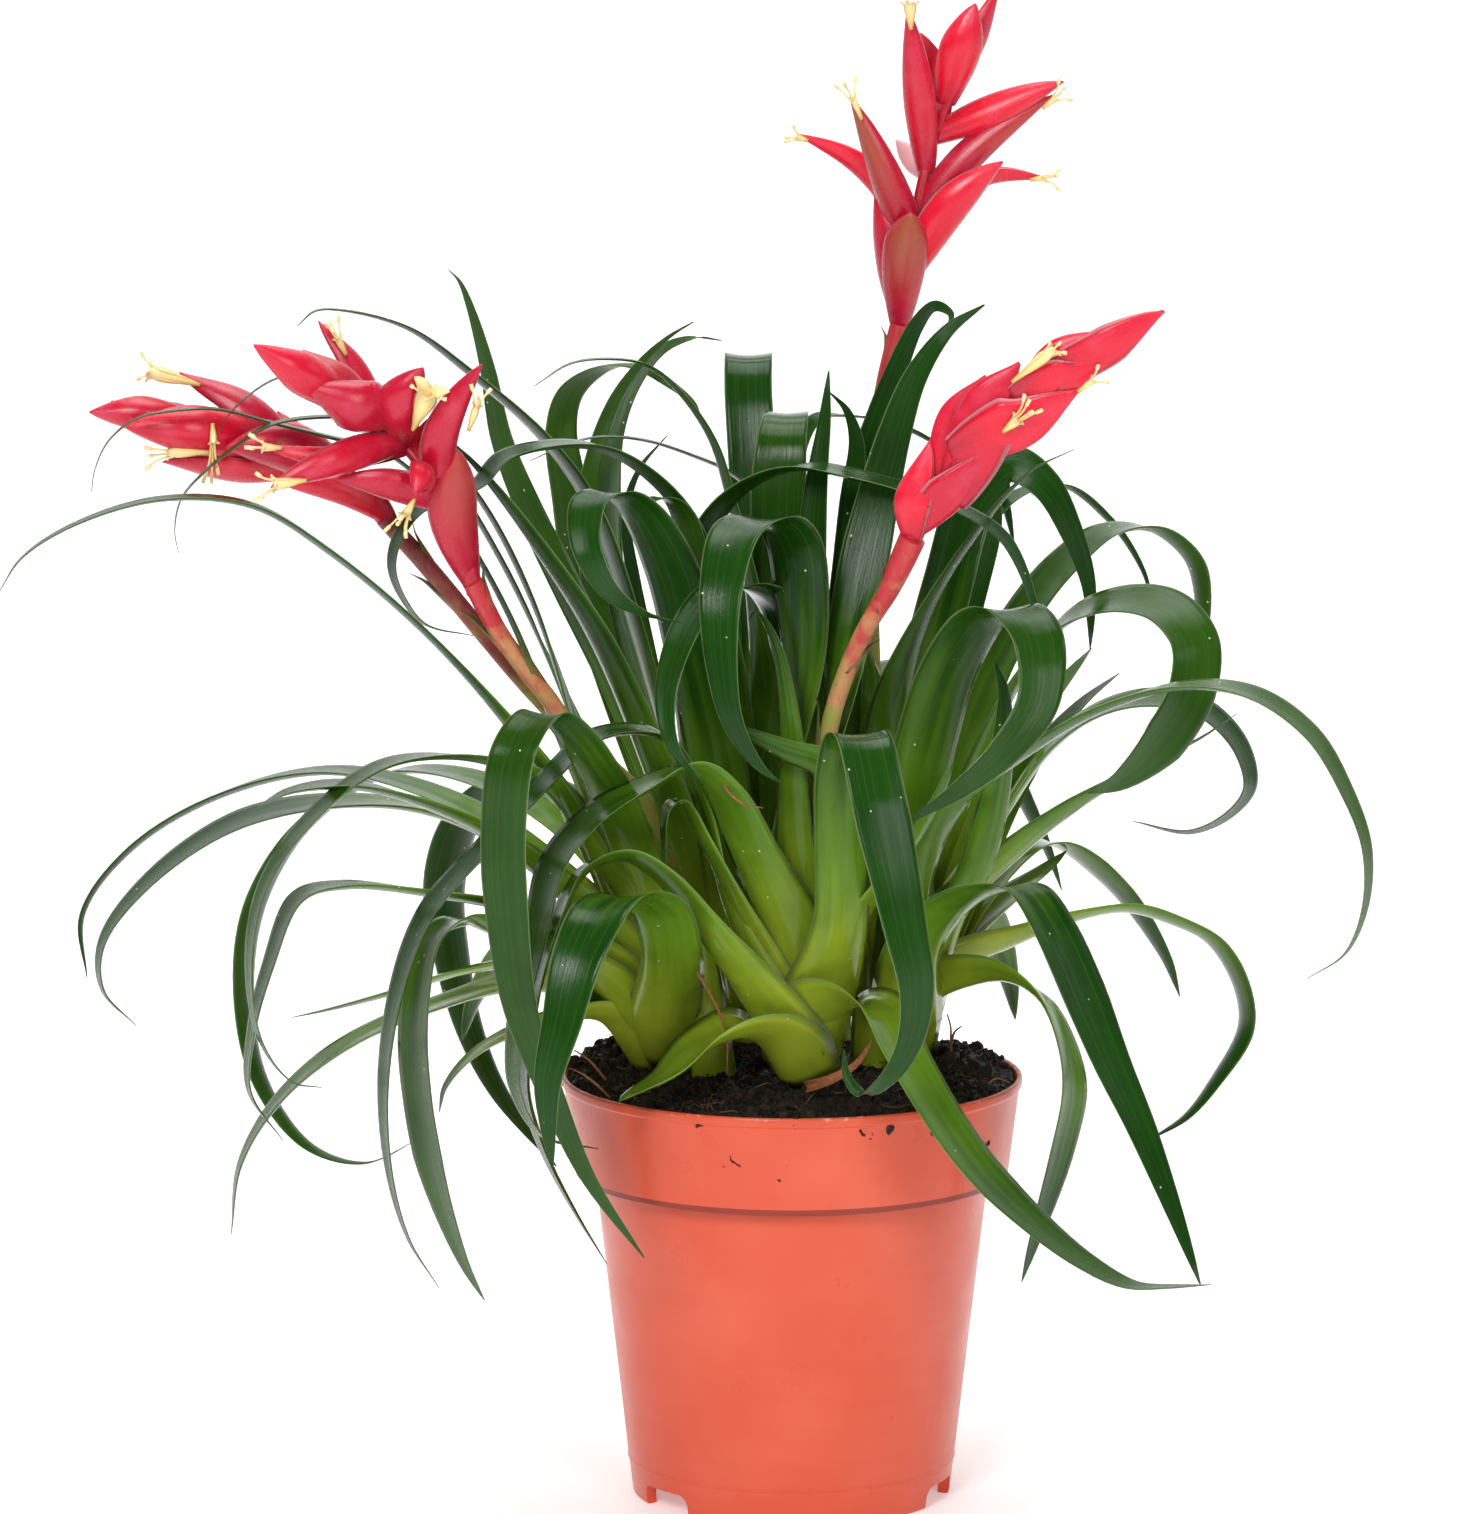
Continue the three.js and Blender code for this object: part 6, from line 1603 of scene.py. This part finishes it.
def make_lights(power):
    """Soft square lights: name, place and aim in metres from the pot's foot, size and power."""
    scene = bpy.context.scene
    scene.view_settings.view_transform = "Standard"
    scene.view_settings.look = "None"
    world = bpy.data.worlds.new("Studio")
    world.use_nodes = True
    sky = world.node_tree.nodes["Background"]
    sky.inputs["Color"].default_value = (1.0, 1.0, 1.0, 1.0)
    sky.inputs["Strength"].default_value = WORLD_GLOW
    scene.world = world
    plant, backdrop = Vector((0, 0, 0.2)), Vector((0, 2.5, 0.2))
    lights = (
        ("key", (-0.6, -2.0, 1.4), plant, 0.7, 1.06),
        ("fill", (0.9, -1.9, 0.9), plant, 0.7, 0.4),
        ("top", (0.0, 0.1, 1.7), plant, 1.0, 0.6),
        ("left", (-1.5, 0.2, 0.9), plant, 0.5, 0.04),
        ("right", (1.5, 0.2, 0.9), plant, 0.5, 0.04),
        ("backdrop", (0.0, 1.3, 1.8), backdrop, 1.6, 0.9),
    )
    for name, spot, target, size, share in lights:
        data = bpy.data.lights.new(name, "AREA")
        data.shape = "SQUARE"
        data.size = size
        data.energy = power * share
        lamp = bpy.data.objects.new(name, data)
        lamp.location = POT_AXIS + Vector(spot)
        aim = POT_AXIS + target - lamp.location
        lamp.rotation_euler = aim.to_track_quat("-Z", "Y").to_euler()
        scene.collection.objects.link(lamp)


def make_camera():
    """A long lens in front, a little above the plant."""
    data = bpy.data.cameras.new("camera")
    data.sensor_width = 36.0
    data.lens = FOCAL_PIXELS / PICTURE_PIXELS * data.sensor_width
    data.clip_end = 20.0
    camera = bpy.data.objects.new("camera", data)
    camera.location = POT_AXIS + Vector(CAMERA_PLACE)
    pitch, yaw = math.radians(CAMERA_PITCH), math.radians(CAMERA_YAW)
    camera.rotation_euler = (math.pi / 2 - pitch, 0.0, yaw)
    bpy.context.scene.collection.objects.link(camera)
    bpy.context.scene.camera = camera


class BROMELIAD_PT_panel(bpy.types.Panel):
    """The steps, in the order in which they are made."""

    bl_label = "Potted bromeliad"
    bl_idname = "BROMELIAD_PT_panel"
    bl_space_type = "VIEW_3D"
    bl_region_type = "UI"
    bl_category = "Bromeliad"

    def draw(self, context):
        for operator in OPERATORS:
            self.layout.operator(operator.bl_idname)
        for name, group in SETTINGS.items():
            box = self.layout.box()
            settings = getattr(context.scene, "bromeliad_" + name)
            for field in group.__annotations__:
                box.prop(settings, field)


OPERATORS = (
    BROMELIAD_OT_stage, BROMELIAD_OT_pot, BROMELIAD_OT_soil, BROMELIAD_OT_rosettes,
    BROMELIAD_OT_stalks, BROMELIAD_OT_heads, BROMELIAD_OT_flowers, BROMELIAD_OT_details,
)
SETTINGS = {
    "stage": StageSettings, "pot": PotSettings, "soil": SoilSettings, "leaf": LeafSettings,
    "head": HeadSettings,
}


def register():
    for made in (*SETTINGS.values(), *OPERATORS, BROMELIAD_PT_panel):
        bpy.utils.register_class(made)
    for name, group in SETTINGS.items():
        setattr(bpy.types.Scene, "bromeliad_" + name, bpy.props.PointerProperty(type=group))


def unregister():
    for name in SETTINGS:
        delattr(bpy.types.Scene, "bromeliad_" + name)
    for made in (BROMELIAD_PT_panel, *reversed(OPERATORS), *reversed(list(SETTINGS.values()))):
        bpy.utils.unregister_class(made)


def main():
    register()
    bpy.ops.bromeliad.make_stage()
    bpy.ops.bromeliad.make_pot()
    bpy.ops.bromeliad.make_soil()
    bpy.ops.bromeliad.make_rosettes()
    bpy.ops.bromeliad.make_stalks()
    bpy.ops.bromeliad.make_heads()
    bpy.ops.bromeliad.make_flowers()
    bpy.ops.bromeliad.make_details()


if __name__ == "__main__":
    main()
